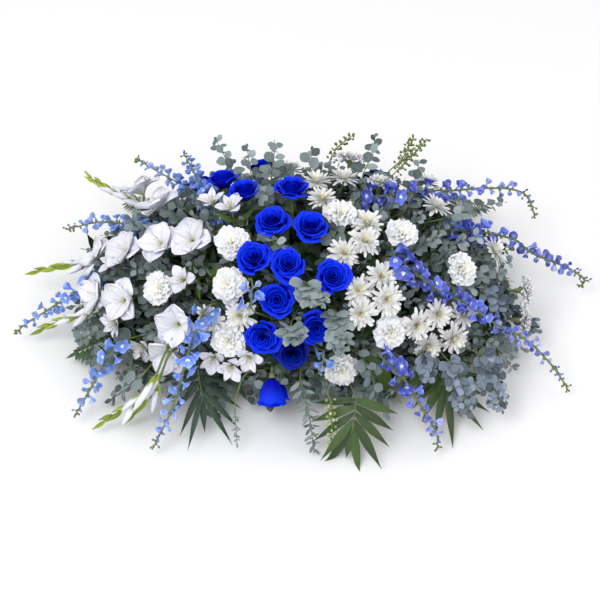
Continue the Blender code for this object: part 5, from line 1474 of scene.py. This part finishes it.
def leaf_finish(name, dark, light, rib, roughness=0.5, lines=0.0, slanting=8.0, edge=None, wax=0.0):
    """Leaves in two greens, with a midrib, veins, a paler edge and a waxy bloom if they have one."""
    made, shader, w = new_material(name, roughness)
    shader.inputs["Sheen Weight"].default_value = wax
    place = use(w, "Petal place", place_group)
    veins = use(w, "Veins", vein_group, Lengthwise=lines, Slanting=slanting, Midrib=0.09)
    mottle = use(w, "Mottle", mottle_group, Scale=90.0, Amount=0.2, Petal_amount=0.35)
    colour = w.mix(place["Draw"], dark, light)
    colour = w.mix(w.times(veins["Midrib"], 0.55), colour, rib)
    if edge:
        rimmed = w.maths("MAXIMUM", w.between(place["Off"], 0.86, 1.0),
                         w.between(place["Along"], 0.93, 1.0))
        colour = w.mix(w.times(rimmed, 0.5), colour, edge)
    under = w.add("NewGeometry").outputs["Backfacing"]
    colour = w.mix(w.times(under, 0.25), colour, rib)
    coloured(w, shader, colour, w.times(mottle["Tone"], w.times_plus(veins["Height"], -0.10, 1.05)))
    bumped(w, shader, w.times_plus(mottle["Grain"], 0.3, veins["Height"]), 0.3 * MM)
    return made


def blade_finish(name, tint, dark, light, rib, lines, roughness=0.4):
    """Leaves with veins that run along them, in three strengths of one green."""
    return leaf_finish(name, scaled(tint, dark), scaled(tint, light), scaled(tint, rib), roughness,
                       lines, 0)


def waxy_finish(name, dark, pale, rib=1.2, edge=1.4):
    """Eucalyptus leaves, their ribs and edges so many times as light as the paler of them."""
    return leaf_finish(name, dark, pale, scaled(pale, rib), 0.6, slanting=7, edge=scaled(pale, edge),
                       wax=0.1)


def stem_finish(name, low, high):
    """Green stems, paler where they are thin, with fine lengthwise grain."""
    made, shader, w = new_material(name, 0.5)
    place = use(w, "Petal place", place_group)
    veins = use(w, "Veins", vein_group, Lengthwise=7.0, Midrib=0.0)
    mottle = use(w, "Mottle", mottle_group, Amount=0.25, Petal_amount=0.1)
    coloured(w, shader, w.mix(place["Along"], low, high), mottle["Tone"])
    bumped(w, shader, w.times_plus(mottle["Grain"], 0.5, veins["Height"]), 0.2 * MM)
    return made


def foam_finish(name, colour):
    """Wet floral foam: matt, dark, with open pores."""
    made, shader, w = new_material(name, 0.9)
    spot = w.add("TexCoord").outputs["Object"]
    pores = w.add("TexVoronoi", {"Vector": spot, "Scale": 900.0})
    patch = w.add("TexNoise", {"Vector": spot, "Scale": 25.0, "Detail": 3.0})
    open_pore = w.between(pores.outputs["Distance"], 0.1, 0.5)
    # painted shade: the foam's colour is darker in its pores, the hollows of the bump
    tone = w.times(w.times_plus(open_pore, 0.4, 0.7), w.times_plus(patch.outputs[0], 0.5, 0.75))
    coloured(w, shader, colour, tone)
    bumped(w, shader, open_pore, 0.5 * MM)
    return made


DULL_GREEN = (0.25, 0.30, 0.26)


def plastic_finish(name, colour):
    """Moulded plastic, finely textured, with dull scuffs."""
    made, shader, w = new_material(name, 0.4)
    spot = w.add("TexCoord").outputs["Object"]
    fine = w.add("TexNoise", {"Vector": spot, "Scale": 1500.0, "Detail": 2.0})
    scuffs = w.add("TexNoise", {"Vector": spot, "Scale": 40.0, "Detail": 6.0, "Distortion": 1.5})
    scuffed = w.between(scuffs.outputs[0], 0.5, 0.75)
    w.link(w.times_plus(scuffed, 0.3, 0.35), shader, "Roughness")
    w.link(w.mix(w.times(scuffed, 0.2), colour, DULL_GREEN), shader, "Base Color")
    bumped(w, shader, fine.outputs[0], 0.08 * MM)
    return made


# What a user may change

def colour(name, description, default):
    return FloatVectorProperty(name=name, description=description, default=default, size=3,
                               min=0, max=1, subtype="COLOR")


def size(name, description, default, least, most):
    return FloatProperty(name=name, description=description, default=default, min=least,
                         max=most, subtype="DISTANCE", unit="LENGTH")


class RoseLook(PropertyGroup):
    """Blue roses."""
    petals: IntProperty(name="Petals", description="Petals in each rose", default=18,
                        min=12, max=60)
    # painted shade: the rose petals' base colour darkens them deep in the cup
    base: colour("Base", "Petals at their base", (0.000, 0.001, 0.16))
    body: colour("Body", "Petals between base and rim", (0.000, 0.003, 0.50))
    # painted highlight: the rim colour lights up the rose petals' rims and side edges
    rim: colour("Rim", "Petals along their rims", (0.002, 0.042, 0.95))
    heart: colour("Heart", "Petals in the middle of the rose", (0.000, 0.004, 0.50))


class CarnationLook(PropertyGroup):
    """White carnations."""
    ruffle: size("Ruffle", "Height of the waves along a petal's edge", 3.6 * MM, 0, 8 * MM)
    petal: colour("Petal", "Petals", (0.82, 0.83, 0.86))
    base: colour("Base", "Petals at their base", (0.80, 0.81, 0.74))
    heart: colour("Heart", "Petals in the middle", (0.88, 0.86, 0.74))


class ChrysanthemumLook(PropertyGroup):
    """White spray chrysanthemums."""
    strap_half: size("Half width", "Half the width of a petal", 3.256 * MM, 1.5 * MM, 6 * MM)
    petal: colour("Petal", "Petals", (0.82, 0.82, 0.83))
    base: colour("Base", "Petals at their base", (0.80, 0.81, 0.60))
    heart: colour("Heart", "Heart of the bloom", (0.92, 0.89, 0.56))


class LilyLook(PropertyGroup):
    """White gladioli and alstroemeria."""
    petal_length: size("Petal length", "Length of a gladiolus petal", 54 * MM, 30 * MM, 70 * MM)
    petal: colour("Petal", "Petals", (0.77, 0.77, 0.87))
    base: colour("Base", "Petals at their base", (0.60, 0.66, 0.38))
    stripe: colour("Stripe", "Middle of an alstroemeria's petals", (0.42, 0.52, 0.22))
    freckle: colour("Freckle", "Dashes in an alstroemeria's throat", (0.16, 0.03, 0.05))
    throat: colour("Gladiolus heart", "Stamens and heart of a gladiolus", (0.80, 0.78, 0.45))
    cream: colour("Alstroemeria heart", "Stamens and heart of an alstroemeria", (0.72, 0.66, 0.36))
    sheath: colour("Sheath", "Green sheaths of a gladiolus", (0.27, 0.34, 0.035))
    sheath_length: size("Sheath length", "Longest sheath", 62 * MM, 20 * MM, 80 * MM)
    sheath_step: size("Sheath step", "Between sheaths along a spike", 22 * MM, 10 * MM, 40 * MM)


class DelphiniumLook(PropertyGroup):
    """Blue delphiniums and green filler spikes."""
    light: colour("Light blue", "Florets on the left", (0.12, 0.25, 0.72))
    # painted highlight: paler blue on the bases and tips of the light florets' sepals
    light_highlight: colour("Light rim", "Florets on the left, at their edges", (0.27, 0.42, 0.84))
    light_other: colour("Other light blue", "Some florets on the left", (0.17, 0.27, 0.80))
    deep: colour("Deep blue", "Florets on the right", (0.040, 0.062, 0.50))
    # painted highlight: paler blue on the bases and tips of the deep florets' sepals
    deep_highlight: colour("Deep rim", "Florets on the right, at their edges", (0.25, 0.33, 0.84))
    deep_other: colour("Other deep blue", "Some florets on the right", (0.15, 0.20, 0.70))
    eye: colour("Eye", "Heart of a floret", (0.85, 0.88, 0.92))
    floret_radius: size("Floret radius", "Widest florets", 16 * MM, 6 * MM, 20 * MM)
    floret_step: size("Floret step", "Between florets along a spike", 10 * MM, 6 * MM, 30 * MM)
    bead: colour("Bead", "Beads of the filler spikes", (0.40, 0.47, 0.18))
    bead_dark: colour("Dark bead", "Beads of the spikes at the top", (0.17, 0.22, 0.05))
    bead_length: size("Bead length", "Longest bead", 8 * MM, 4 * MM, 14 * MM)
    bead_step: size("Bead step", "Between beads along a spike", 3.4 * MM, 2 * MM, 20 * MM)


class GreensLook(PropertyGroup):
    """Leaves and stems."""
    leaf_length: size("Leaf length", "Longest eucalyptus leaf", 26 * MM, 12 * MM, 40 * MM)
    leaf_step: size("Leaf step", "Between pairs of eucalyptus leaves", 15 * MM, 8 * MM, 40 * MM)
    eucalyptus: colour("Eucalyptus", "Round leaves", (0.045, 0.080, 0.068))
    eucalyptus_pale: colour("Pale eucalyptus", "Paler round leaves", (0.26, 0.32, 0.33))
    silvery: colour("Silvery eucalyptus", "Paler round leaves of the twigs between the blooms",
                    (0.36, 0.43, 0.46))
    plume: colour("Blue eucalyptus", "Small blue-grey leaves", (0.040, 0.062, 0.080))
    plume_pale: colour("Pale blue eucalyptus", "Paler blue-grey leaves", (0.24, 0.30, 0.39))
    palm: colour("Palm", "Palm leaflets", (0.027, 0.057, 0.010))
    broad: colour("Broad leaf", "Broad ribbed leaves", (0.055, 0.100, 0.014))
    palm_dark: colour("Dark palm", "Leaflets of the palm on the left", (0.008, 0.026, 0.013))
    dark: colour("Dark leaf", "Ferns and leaves low between the blooms", (0.010, 0.026, 0.007))
    stem: colour("Stem", "Cut stems", (0.085, 0.135, 0.04))
    stem_high: colour("Stem end", "Cut stems at their thin ends", (0.19, 0.23, 0.08))


class HolderLook(PropertyGroup):
    """Tray, cage and foam."""
    foam: colour("Foam", "Wet floral foam", (0.015, 0.06, 0.025))
    plastic: colour("Plastic", "Tray and cage", (0.008, 0.03, 0.012))


class StageLook(PropertyGroup):
    """Floor, light and camera."""
    floor: colour("Floor", "Floor and backdrop", (0.92, 0.92, 0.93))
    key: FloatProperty(name="Key light", description="Power of the main light",
                       default=42, min=0, max=500, subtype="POWER", unit="POWER")
    fill: FloatProperty(name="Fill light", description="Power of the light at the side",
                        default=12, min=0, max=500, subtype="POWER", unit="POWER")
    sky: FloatProperty(name="Sky", description="Strength of the even light", default=0.85,
                       min=0, max=5)


LOOKS = {"spray_roses": RoseLook, "spray_carnations": CarnationLook,
         "spray_chrysanthemums": ChrysanthemumLook, "spray_lilies": LilyLook,
         "spray_delphiniums": DelphiniumLook, "spray_greens": GreensLook,
         "spray_holder": HolderLook, "spray_stage": StageLook}


# Operators

def finish_stems(stems, name):
    """The stems of a group of pieces as one piece, all in one green."""
    look = bpy.context.scene.spray_greens
    green = (bpy.data.materials.get("green stem")
             or stem_finish("green stem", look.stem, look.stem_high))
    stems.piece(f"{name}_stems", green, "green_stems")


def dark_leaf():
    dark = bpy.context.scene.spray_greens.dark
    return (bpy.data.materials.get("dark leaf")
            or leaf_finish("dark leaf", dark, scaled(dark, 3.4), scaled(dark, 4.5), roughness=0.38))


def owners_of(*kinds):
    return [owner for owner, kind in KINDS.items() if kind in kinds]


def within_bloom(point):
    """Whether a point is well inside a bloom."""
    return any((point - head.centre).length < head.radius * BLOOM_ROOM for head in HEADS)


def draws(owner, what):
    return random.Random(f"{owner} {what}")


def heads_of(owner):
    """The blooms of a node, each with its own draws."""
    for i, head in enumerate(head for head in HEADS if head.owner == owner):
        yield head, draws(owner, i)


def stems_of(*kinds, slim=1.0):
    """All stems of the nodes of these kinds, in one skin."""
    skin = Skin()
    for owner in owners_of(*kinds):
        for path, radius, tip in STEMS[owner]:
            stem(skin, path, radius * slim, tip * slim)
    return skin


def leaves_on(skin, owner, kind):
    """Leaves on the stems of a node."""
    for path, _, _ in STEMS[owner]:
        leafed(skin, path, draws(owner, "leaves"), STEM_LEAVES[kind])


# Green cup under a bloom: its radius, its length below and above the bloom's base, its sepals and
# their reach, which is less under a closed bloom
Calyx = namedtuple("Calyx", "radius below above sepals reach closed_reach")
CALYX = {"rose": Calyx(6.5, 9, 5, 5, 22, 14), "carnation": Calyx(6.0, 20, 8, 5, 9, 9),
         "mum": Calyx(6.5, 4, 2, 8, 9, 9)}
SEPAL_WIDTHS = np.array((2.5, 3.2, 2.6, 1.4, 0.3)) * MM


def calyx(skin, head, draw):
    """The green cup under a bloom, with its sepals."""
    base, side, other, facing = frame_of(head)
    form = CALYX[head.kind]
    rod(skin, [base - facing * form.below * MM, base - facing * form.below * 0.5 * MM, base,
               base + facing * form.above * MM],
        [2.4 * MM, form.radius * 0.8 * MM, form.radius * MM, form.radius * 1.1 * MM], 10, draw=0.7)
    reach = form.closed_reach if head.tall > 1 else form.reach
    for k in range(form.sepals):
        ahead, up = leaning(side, other, facing,
                            tau * k / form.sepals + draw.uniform(-0.2, 0.2), radians(60))
        ribbon(skin, base + facing * form.above * 0.5 * MM, ahead, up, reach * MM, SEPAL_WIDTHS,
               bend=1.0, draw=0.8)


def grow_blooms(kind, name, bloom, look, finish):
    """The blooms of a kind, a piece for each node, and all their stems and leaves."""
    stems, leaves = stems_of(kind), Skin()
    for owner in owners_of(kind):
        petals = Skin()
        for head, draw in heads_of(owner):
            bloom(petals, head, draw, look)
            calyx(stems, head, draw)
        petals.piece(f"{owner}.petals", finish, f"{kind}_petals", [owner])
        leaves_on(leaves, owner, kind)
    finish_stems(stems, name)
    leaves.piece(f"{name}_leaves", dark_leaf(), "fern_leaves")


class SPRAY_OT_roses(Operator):
    """Make the blue roses with their calyxes, stems and leaves."""
    bl_idname = "spray.roses"
    bl_label = "Roses"

    def execute(self, context):
        look = context.scene.spray_roses
        # base colour: painted shade deep in the cup; rim colour: painted highlight on rims and sides
        finish = petal_finish("rose petal", look.base, look.body, look.rim, look.heart,
                              roughness=0.6, shine=0.15, lines=13, rim_from=0.80, side=0.6,
                              rim_last=True, depth=0.15 * MM)
        grow_blooms("rose", "rose", rose, look, finish)
        return {"FINISHED"}


class SPRAY_OT_carnations(Operator):
    """Make the white carnations with their calyxes, stems and narrow leaves."""
    bl_idname = "spray.carnations"
    bl_label = "Carnations"

    def execute(self, context):
        look = context.scene.spray_carnations
        finish = petal_finish("carnation petal", look.base, look.petal, look.petal, look.heart,
                              roughness=0.7, lines=8, depth=0.3 * MM, fold_shade=0.10, amount=0.05)
        grow_blooms("carnation", "carnation", carnation, look, finish)
        return {"FINISHED"}


class SPRAY_OT_chrysanthemums(Operator):
    """Make the white spray chrysanthemums with their stems and leaves."""
    bl_idname = "spray.chrysanthemums"
    bl_label = "Chrysanthemums"

    def execute(self, context):
        look = context.scene.spray_chrysanthemums
        finish = petal_finish("chrysanthemum petal", look.base, look.petal, look.petal, look.heart,
                              roughness=0.6, lines=3, depth=0.3 * MM, amount=0.05, rim_from=0.80)
        grow_blooms("mum", "chrysanthemum", mum, look, finish)
        return {"FINISHED"}


class SPRAY_OT_lilies(Operator):
    """Make the white gladioli with their sheaths, and the alstroemeria."""
    bl_idname = "spray.lilies"
    bl_label = "Gladioli and alstroemeria"

    def execute(self, context):
        look = context.scene.spray_lilies
        white = petal_finish("gladiolus petal", look.base, look.petal, look.petal, look.throat,
                             lines=9, depth=0.6 * MM, base_to=0.34, fold_shade=0.16, amount=0.08)
        cream = petal_finish("alstroemeria petal", look.base, look.petal, look.petal, look.cream,
                             lines=9, depth=0.3 * MM, fold_shade=0.10, amount=0.05, stripe=look.stripe,
                             freckle=look.freckle)
        green = blade_finish("gladiolus sheath", look.sheath, 0.8, 1.3, 1.5, lines=7)
        stems = stems_of("gladiolus", "trumpet")
        leaves, sheaths = Skin(), Skin()
        for owner in owners_of("gladiolus"):
            petals = Skin()
            for head, draw in heads_of(owner):
                lily(petals, head, draw, look.petal_length / MM, GLADIOLUS)
                near = min((nearest_on(path, head.base) for path in GROWN[owner]),
                           key=lambda point: (point - head.base).length)
                rod(stems, [near, head.base - head.facing * 3 * MM, head.base + head.facing * 4 * MM],
                    [2.2 * MM] * 3, 6)
            for path in GROWN[owner]:
                gladiolus(sheaths, petals, path, draws(owner, "sheaths"), look)
            petals.piece(f"{owner}.petals", white, "gladiolus_petals", [owner])
        for owner in owners_of("trumpet"):
            petals = Skin()
            for head, draw in heads_of(owner):
                lily(petals, head, draw, ALSTROEMERIA_PETAL, ALSTROEMERIA)
            petals.piece(f"{owner}.petals", cream, "alstroemeria_petals", [owner])
            leaves_on(leaves, owner, "trumpet")
        fresh = blade_finish("alstroemeria leaf", context.scene.spray_greens.broad, 0.7, 1.6, 2.4,
                             lines=5)
        sheaths.piece("gladiolus_sheaths", green, "green_stems")
        finish_stems(stems, "lily")
        leaves.piece("lily_leaves", fresh, "fern_leaves")
        return {"FINISHED"}


class SPRAY_OT_delphiniums(Operator):
    """Make the light and deep blue delphiniums."""
    bl_idname = "spray.delphiniums"
    bl_label = "Delphiniums"

    def execute(self, context):
        look = context.scene.spray_delphiniums
        stems = stems_of("light", "deep", slim=0.75)
        for kind, body, rim, rim_from, other, slot, closed in (
                ("light", look.light, look.light_highlight, 0.55, look.light_other, "light_blue_florets", 0.0),
                ("deep", look.deep, look.deep_highlight, 0.80, look.deep_other, "deep_blue_florets", 0.1)):
            # the rim colour, laid on the sepals' bases and tips, is a painted highlight
            finish = petal_finish(f"{kind} blue floret", rim, body, rim, look.eye, roughness=0.4,
                                  shine=0.6, lines=5, depth=0.15 * MM, fold_shade=0.16, amount=0.25,
                                  petal_amount=0.45, rim_from=rim_from, other=other)
            for owner in owners_of(kind):
                petals = Skin()
                draw = draws(owner, "florets")
                for path in GROWN[owner]:
                    delphinium(petals, stems, path, draw, look, closed)
                petals.piece(f"{owner}.florets", finish, slot, [owner])
        finish_stems(stems, "delphinium")
        return {"FINISHED"}


class SPRAY_OT_fillers(Operator):
    """Make the green filler spikes."""
    bl_idname = "spray.fillers"
    bl_label = "Filler spikes"

    def execute(self, context):
        look = context.scene.spray_delphiniums
        stems = stems_of("filler")
        for owner in owners_of("filler"):
            tint = look.bead_dark if owner == "filler_top" else look.bead
            finish = petal_finish(f"{owner} bead", scaled(tint, 0.7), tint, scaled(tint, 1.4), tint,
                                  lines=4, petal_amount=0.5)
            beads = Skin()
            for path in GROWN[owner]:
                filler(beads, stems, path, draws(owner, "beads"), look)
            beads.piece(f"{owner}.beads", finish, "filler_beads", [owner])
        finish_stems(stems, "filler")
        return {"FINISHED"}


class SPRAY_OT_eucalyptus(Operator):
    """Make the eucalyptus, and the short twigs of it that fill in between the blooms."""
    bl_idname = "spray.eucalyptus"
    bl_label = "Eucalyptus"

    def execute(self, context):
        look = context.scene.spray_greens
        finish = waxy_finish("eucalyptus leaf", look.eucalyptus, look.eucalyptus_pale, 1.25, 1.6)
        silvery = waxy_finish("silvery eucalyptus leaf", look.eucalyptus, look.silvery)
        blue = waxy_finish("blue eucalyptus leaf", look.plume, look.plume_pale)
        stems = stems_of("eucalyptus")
        for owner in owners_of("eucalyptus"):
            leaves = Skin()
            draw = draws(owner, "leaves")
            forms = LEAFAGE.get(owner, [ROUND] * len(GROWN[owner]))
            for path, leafage in zip(GROWN[owner], forms):
                eucalyptus(leaves, stems, path, draw, look, leafage)
                if leafage in (PLUME, SILVER):
                    for shoot in side_shoots(path):
                        stem(stems, shoot, 0.9 * MM, 0.5 * MM)
                        eucalyptus(leaves, stems, shoot, draw, look, leafage)
            leaves.piece(f"{owner}.leaves", blue if forms[0] is PLUME else finish, "eucalyptus_leaves",
                         [owner])
        draw = draws("eucalyptus", "fill")
        among = [offset * draw.uniform(*FILL_SPREAD) for offset in dome_points(FILL_TWIGS)]
        round_it = list(crest_points(draw)) + list(skirt_points(draw))
        for name, offsets, bare in (("eucalyptus_fill", among, 0.62),
                                    ("eucalyptus_edge", round_it, 0.5)):
            leaves = Skin()
            for offset in offsets:
                if within_bloom(DOME_CENTRE + offset):
                    continue
                path = fill_path(offset, FILL_REACH, draw)
                stem(stems, path, 1.3 * MM, 0.6 * MM)
                pale = draw.random() ** 1.8
                leafage = Leafage(draw.uniform(0.9, 1.3), draw.uniform(0.8, 1.1),
                                  draw.uniform(0.75, 1.0), pale * 0.6, 0.4 + pale * 0.6, bare, 0.6, 3)
                eucalyptus(leaves, stems, path, draw, look, leafage)
            leaves.piece(f"{name}.leaves", silvery, "eucalyptus_leaves")
        finish_stems(stems, "eucalyptus")
        return {"FINISHED"}


class SPRAY_OT_fronds(Operator):
    """Make the palm fronds, the dark ferns and the broad ribbed leaves."""
    bl_idname = "spray.fronds"
    bl_label = "Fronds and broad leaves"

    def execute(self, context):
        look = context.scene.spray_greens
        palm_green = blade_finish("palm leaflet", look.palm, 1, 1.6, 2.4, lines=9, roughness=0.42)
        dark_green = blade_finish("dark palm leaflet", look.palm_dark, 1, 1.6, 2.4, lines=9,
                                  roughness=0.42)
        ribbed = blade_finish("broad leaf", look.broad, 1, 1.4, 2, lines=9)
        stems = stems_of("palm", "fern", "broad")
        for kind, slot in (("palm", "palm_leaves"), ("fern", "fern_leaves"), ("broad", "broad_leaves")):
            for owner in owners_of(kind):
                leaves = Skin()
                draw = draws(owner, "leaflets")
                left = owner == "palm_left"
                for path in GROWN[owner]:
                    if kind == "palm":
                        half = PALM_HALF * (LEFT_PALM_SLIM if left else 1)
                        palm(leaves, stems, path, draw, half)
                    elif kind == "fern":
                        fern(leaves, stems, path, draw)
                    else:
                        broad(leaves, path, draw)
                finish = {"palm": dark_green if left else palm_green, "fern": dark_leaf(),
                          "broad": ribbed}[kind]
                leaves.piece(f"{owner}.leaflets", finish, slot, [owner])
        finish_stems(stems, "frond")
        return {"FINISHED"}


class SPRAY_OT_undergrowth(Operator):
    """Make the dark leaves that stand low between the blooms and hide the foam."""
    bl_idname = "spray.undergrowth"
    bl_label = "Undergrowth"

    def execute(self, context):
        leaves, stems = Skin(), Skin()
        draw = draws("undergrowth", "twigs")
        within = [offset * draw.uniform(*UNDER_REACH) for offset in dome_points(UNDERGROWTH)]
        for offset in within + list(crest_points(draw)) + list(skirt_points(draw)):
            path = fill_path(offset, UNDER_EDGE, draw)
            stem(stems, path, 1.4 * MM, 0.7 * MM)
            leafed(leaves, path, draw, STEM_LEAVES["undergrowth"])
        leaves.piece("undergrowth_leaves", dark_leaf(), "fern_leaves")
        finish_stems(stems, "undergrowth")
        return {"FINISHED"}


class SPRAY_OT_holder(Operator):
    """Give the tray, the cage and the foam their finishes."""
    bl_idname = "spray.holder"
    bl_label = "Holder"

    def execute(self, context):
        look = context.scene.spray_holder
        foam = foam_finish("wet foam", look.foam)
        plastic = plastic_finish("green plastic", look.plastic)
        for name, finish in (("foam_brick_left", foam), ("foam_brick_right", foam),
                             ("saddle_tray", plastic), ("foam_cage", plastic)):
            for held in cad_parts[name].material_slots:
                held.material = finish
        return {"FINISHED"}


FLOOR_REACH = 30.0
SENSOR_WIDTH = 36  # of the camera, in mm


class SPRAY_OT_stage(Operator):
    """Set the floor, the lights and the camera."""
    bl_idname = "spray.stage"
    bl_label = "Stage"

    def execute(self, context):
        look = context.scene.spray_stage
        scene = context.scene
        pale, shader, _ = new_material("pale floor", 0.9)
        shader.inputs["Base Color"].default_value = (*look.floor, 1)
        mesh = bpy.data.meshes.new("floor")
        corners = ((-1, -1), (1, -1), (1, 1), (-1, 1))
        mesh.from_pydata([(x * FLOOR_REACH, y * FLOOR_REACH, 0) for x, y in corners], [],
                         [(0, 1, 2, 3)])
        mesh.materials.append(pale)
        floor = bpy.data.objects.new("floor", mesh)
        scene.collection.objects.link(floor)
        for name, place, width, power in (("key", (-1.1, -1.3, 2.9), 1.6, look.key),
                                          ("fill", (2.2, -1.2, 1.6), 1.8, look.fill)):
            light = bpy.data.lights.new(name, "AREA")
            light.size = width
            light.energy = power
            lamp = bpy.data.objects.new(name, light)
            lamp.location = place
            lamp.rotation_euler = (VIEW_CENTRE - Vector(place)).to_track_quat("-Z", "Y").to_euler()
            scene.collection.objects.link(lamp)
        world = scene.world or bpy.data.worlds.new("studio")
        scene.world = world
        world.use_nodes = True
        background = world.node_tree.nodes["Background"]
        background.inputs["Color"].default_value = (1, 1, 1, 1)
        background.inputs["Strength"].default_value = look.sky
        lens = bpy.data.cameras.new("front camera")
        lens.sensor_width = SENSOR_WIDTH
        lens.lens = SENSOR_WIDTH * VIEW_DISTANCE / VIEW_WIDTH
        lens.clip_end = 100
        camera = bpy.data.objects.new("front camera", lens)
        camera.location = EYE
        camera.rotation_euler = (VIEW_CENTRE - EYE).to_track_quat("-Z", "Y").to_euler()
        scene.collection.objects.link(camera)
        scene.camera = camera
        scene.view_settings.view_transform = "Standard"
        return {"FINISHED"}


OPERATORS = (SPRAY_OT_stage, SPRAY_OT_roses, SPRAY_OT_carnations, SPRAY_OT_chrysanthemums,
             SPRAY_OT_lilies, SPRAY_OT_delphiniums, SPRAY_OT_fillers, SPRAY_OT_eucalyptus,
             SPRAY_OT_fronds, SPRAY_OT_undergrowth, SPRAY_OT_holder)


class SPRAY_PT_panel(Panel):
    """Lists what the spray is made of, with its sizes and colours."""
    bl_idname = "SPRAY_PT_panel"
    bl_label = "Casket spray"
    bl_space_type = "VIEW_3D"
    bl_region_type = "UI"
    bl_category = "Casket spray"

    def draw(self, context):
        for operator in OPERATORS:
            self.layout.operator(operator.bl_idname)
        for name, look in LOOKS.items():
            shown = self.layout.box()
            shown.label(text=look.__doc__)
            for prop in look.__annotations__:
                shown.prop(getattr(context.scene, name), prop)


def register():
    for look in LOOKS.values():
        bpy.utils.register_class(look)
    for name, look in LOOKS.items():
        setattr(bpy.types.Scene, name, PointerProperty(type=look))
    for operator in OPERATORS:
        bpy.utils.register_class(operator)
    bpy.utils.register_class(SPRAY_PT_panel)


def unregister():
    bpy.utils.unregister_class(SPRAY_PT_panel)
    for operator in reversed(OPERATORS):
        bpy.utils.unregister_class(operator)
    for name, look in LOOKS.items():
        delattr(bpy.types.Scene, name)
        bpy.utils.unregister_class(look)


def main():
    register()
    for operator in OPERATORS:
        _, made = operator.bl_idname.split(".")
        getattr(bpy.ops.spray, made)()


if __name__ == "__main__":
    main()
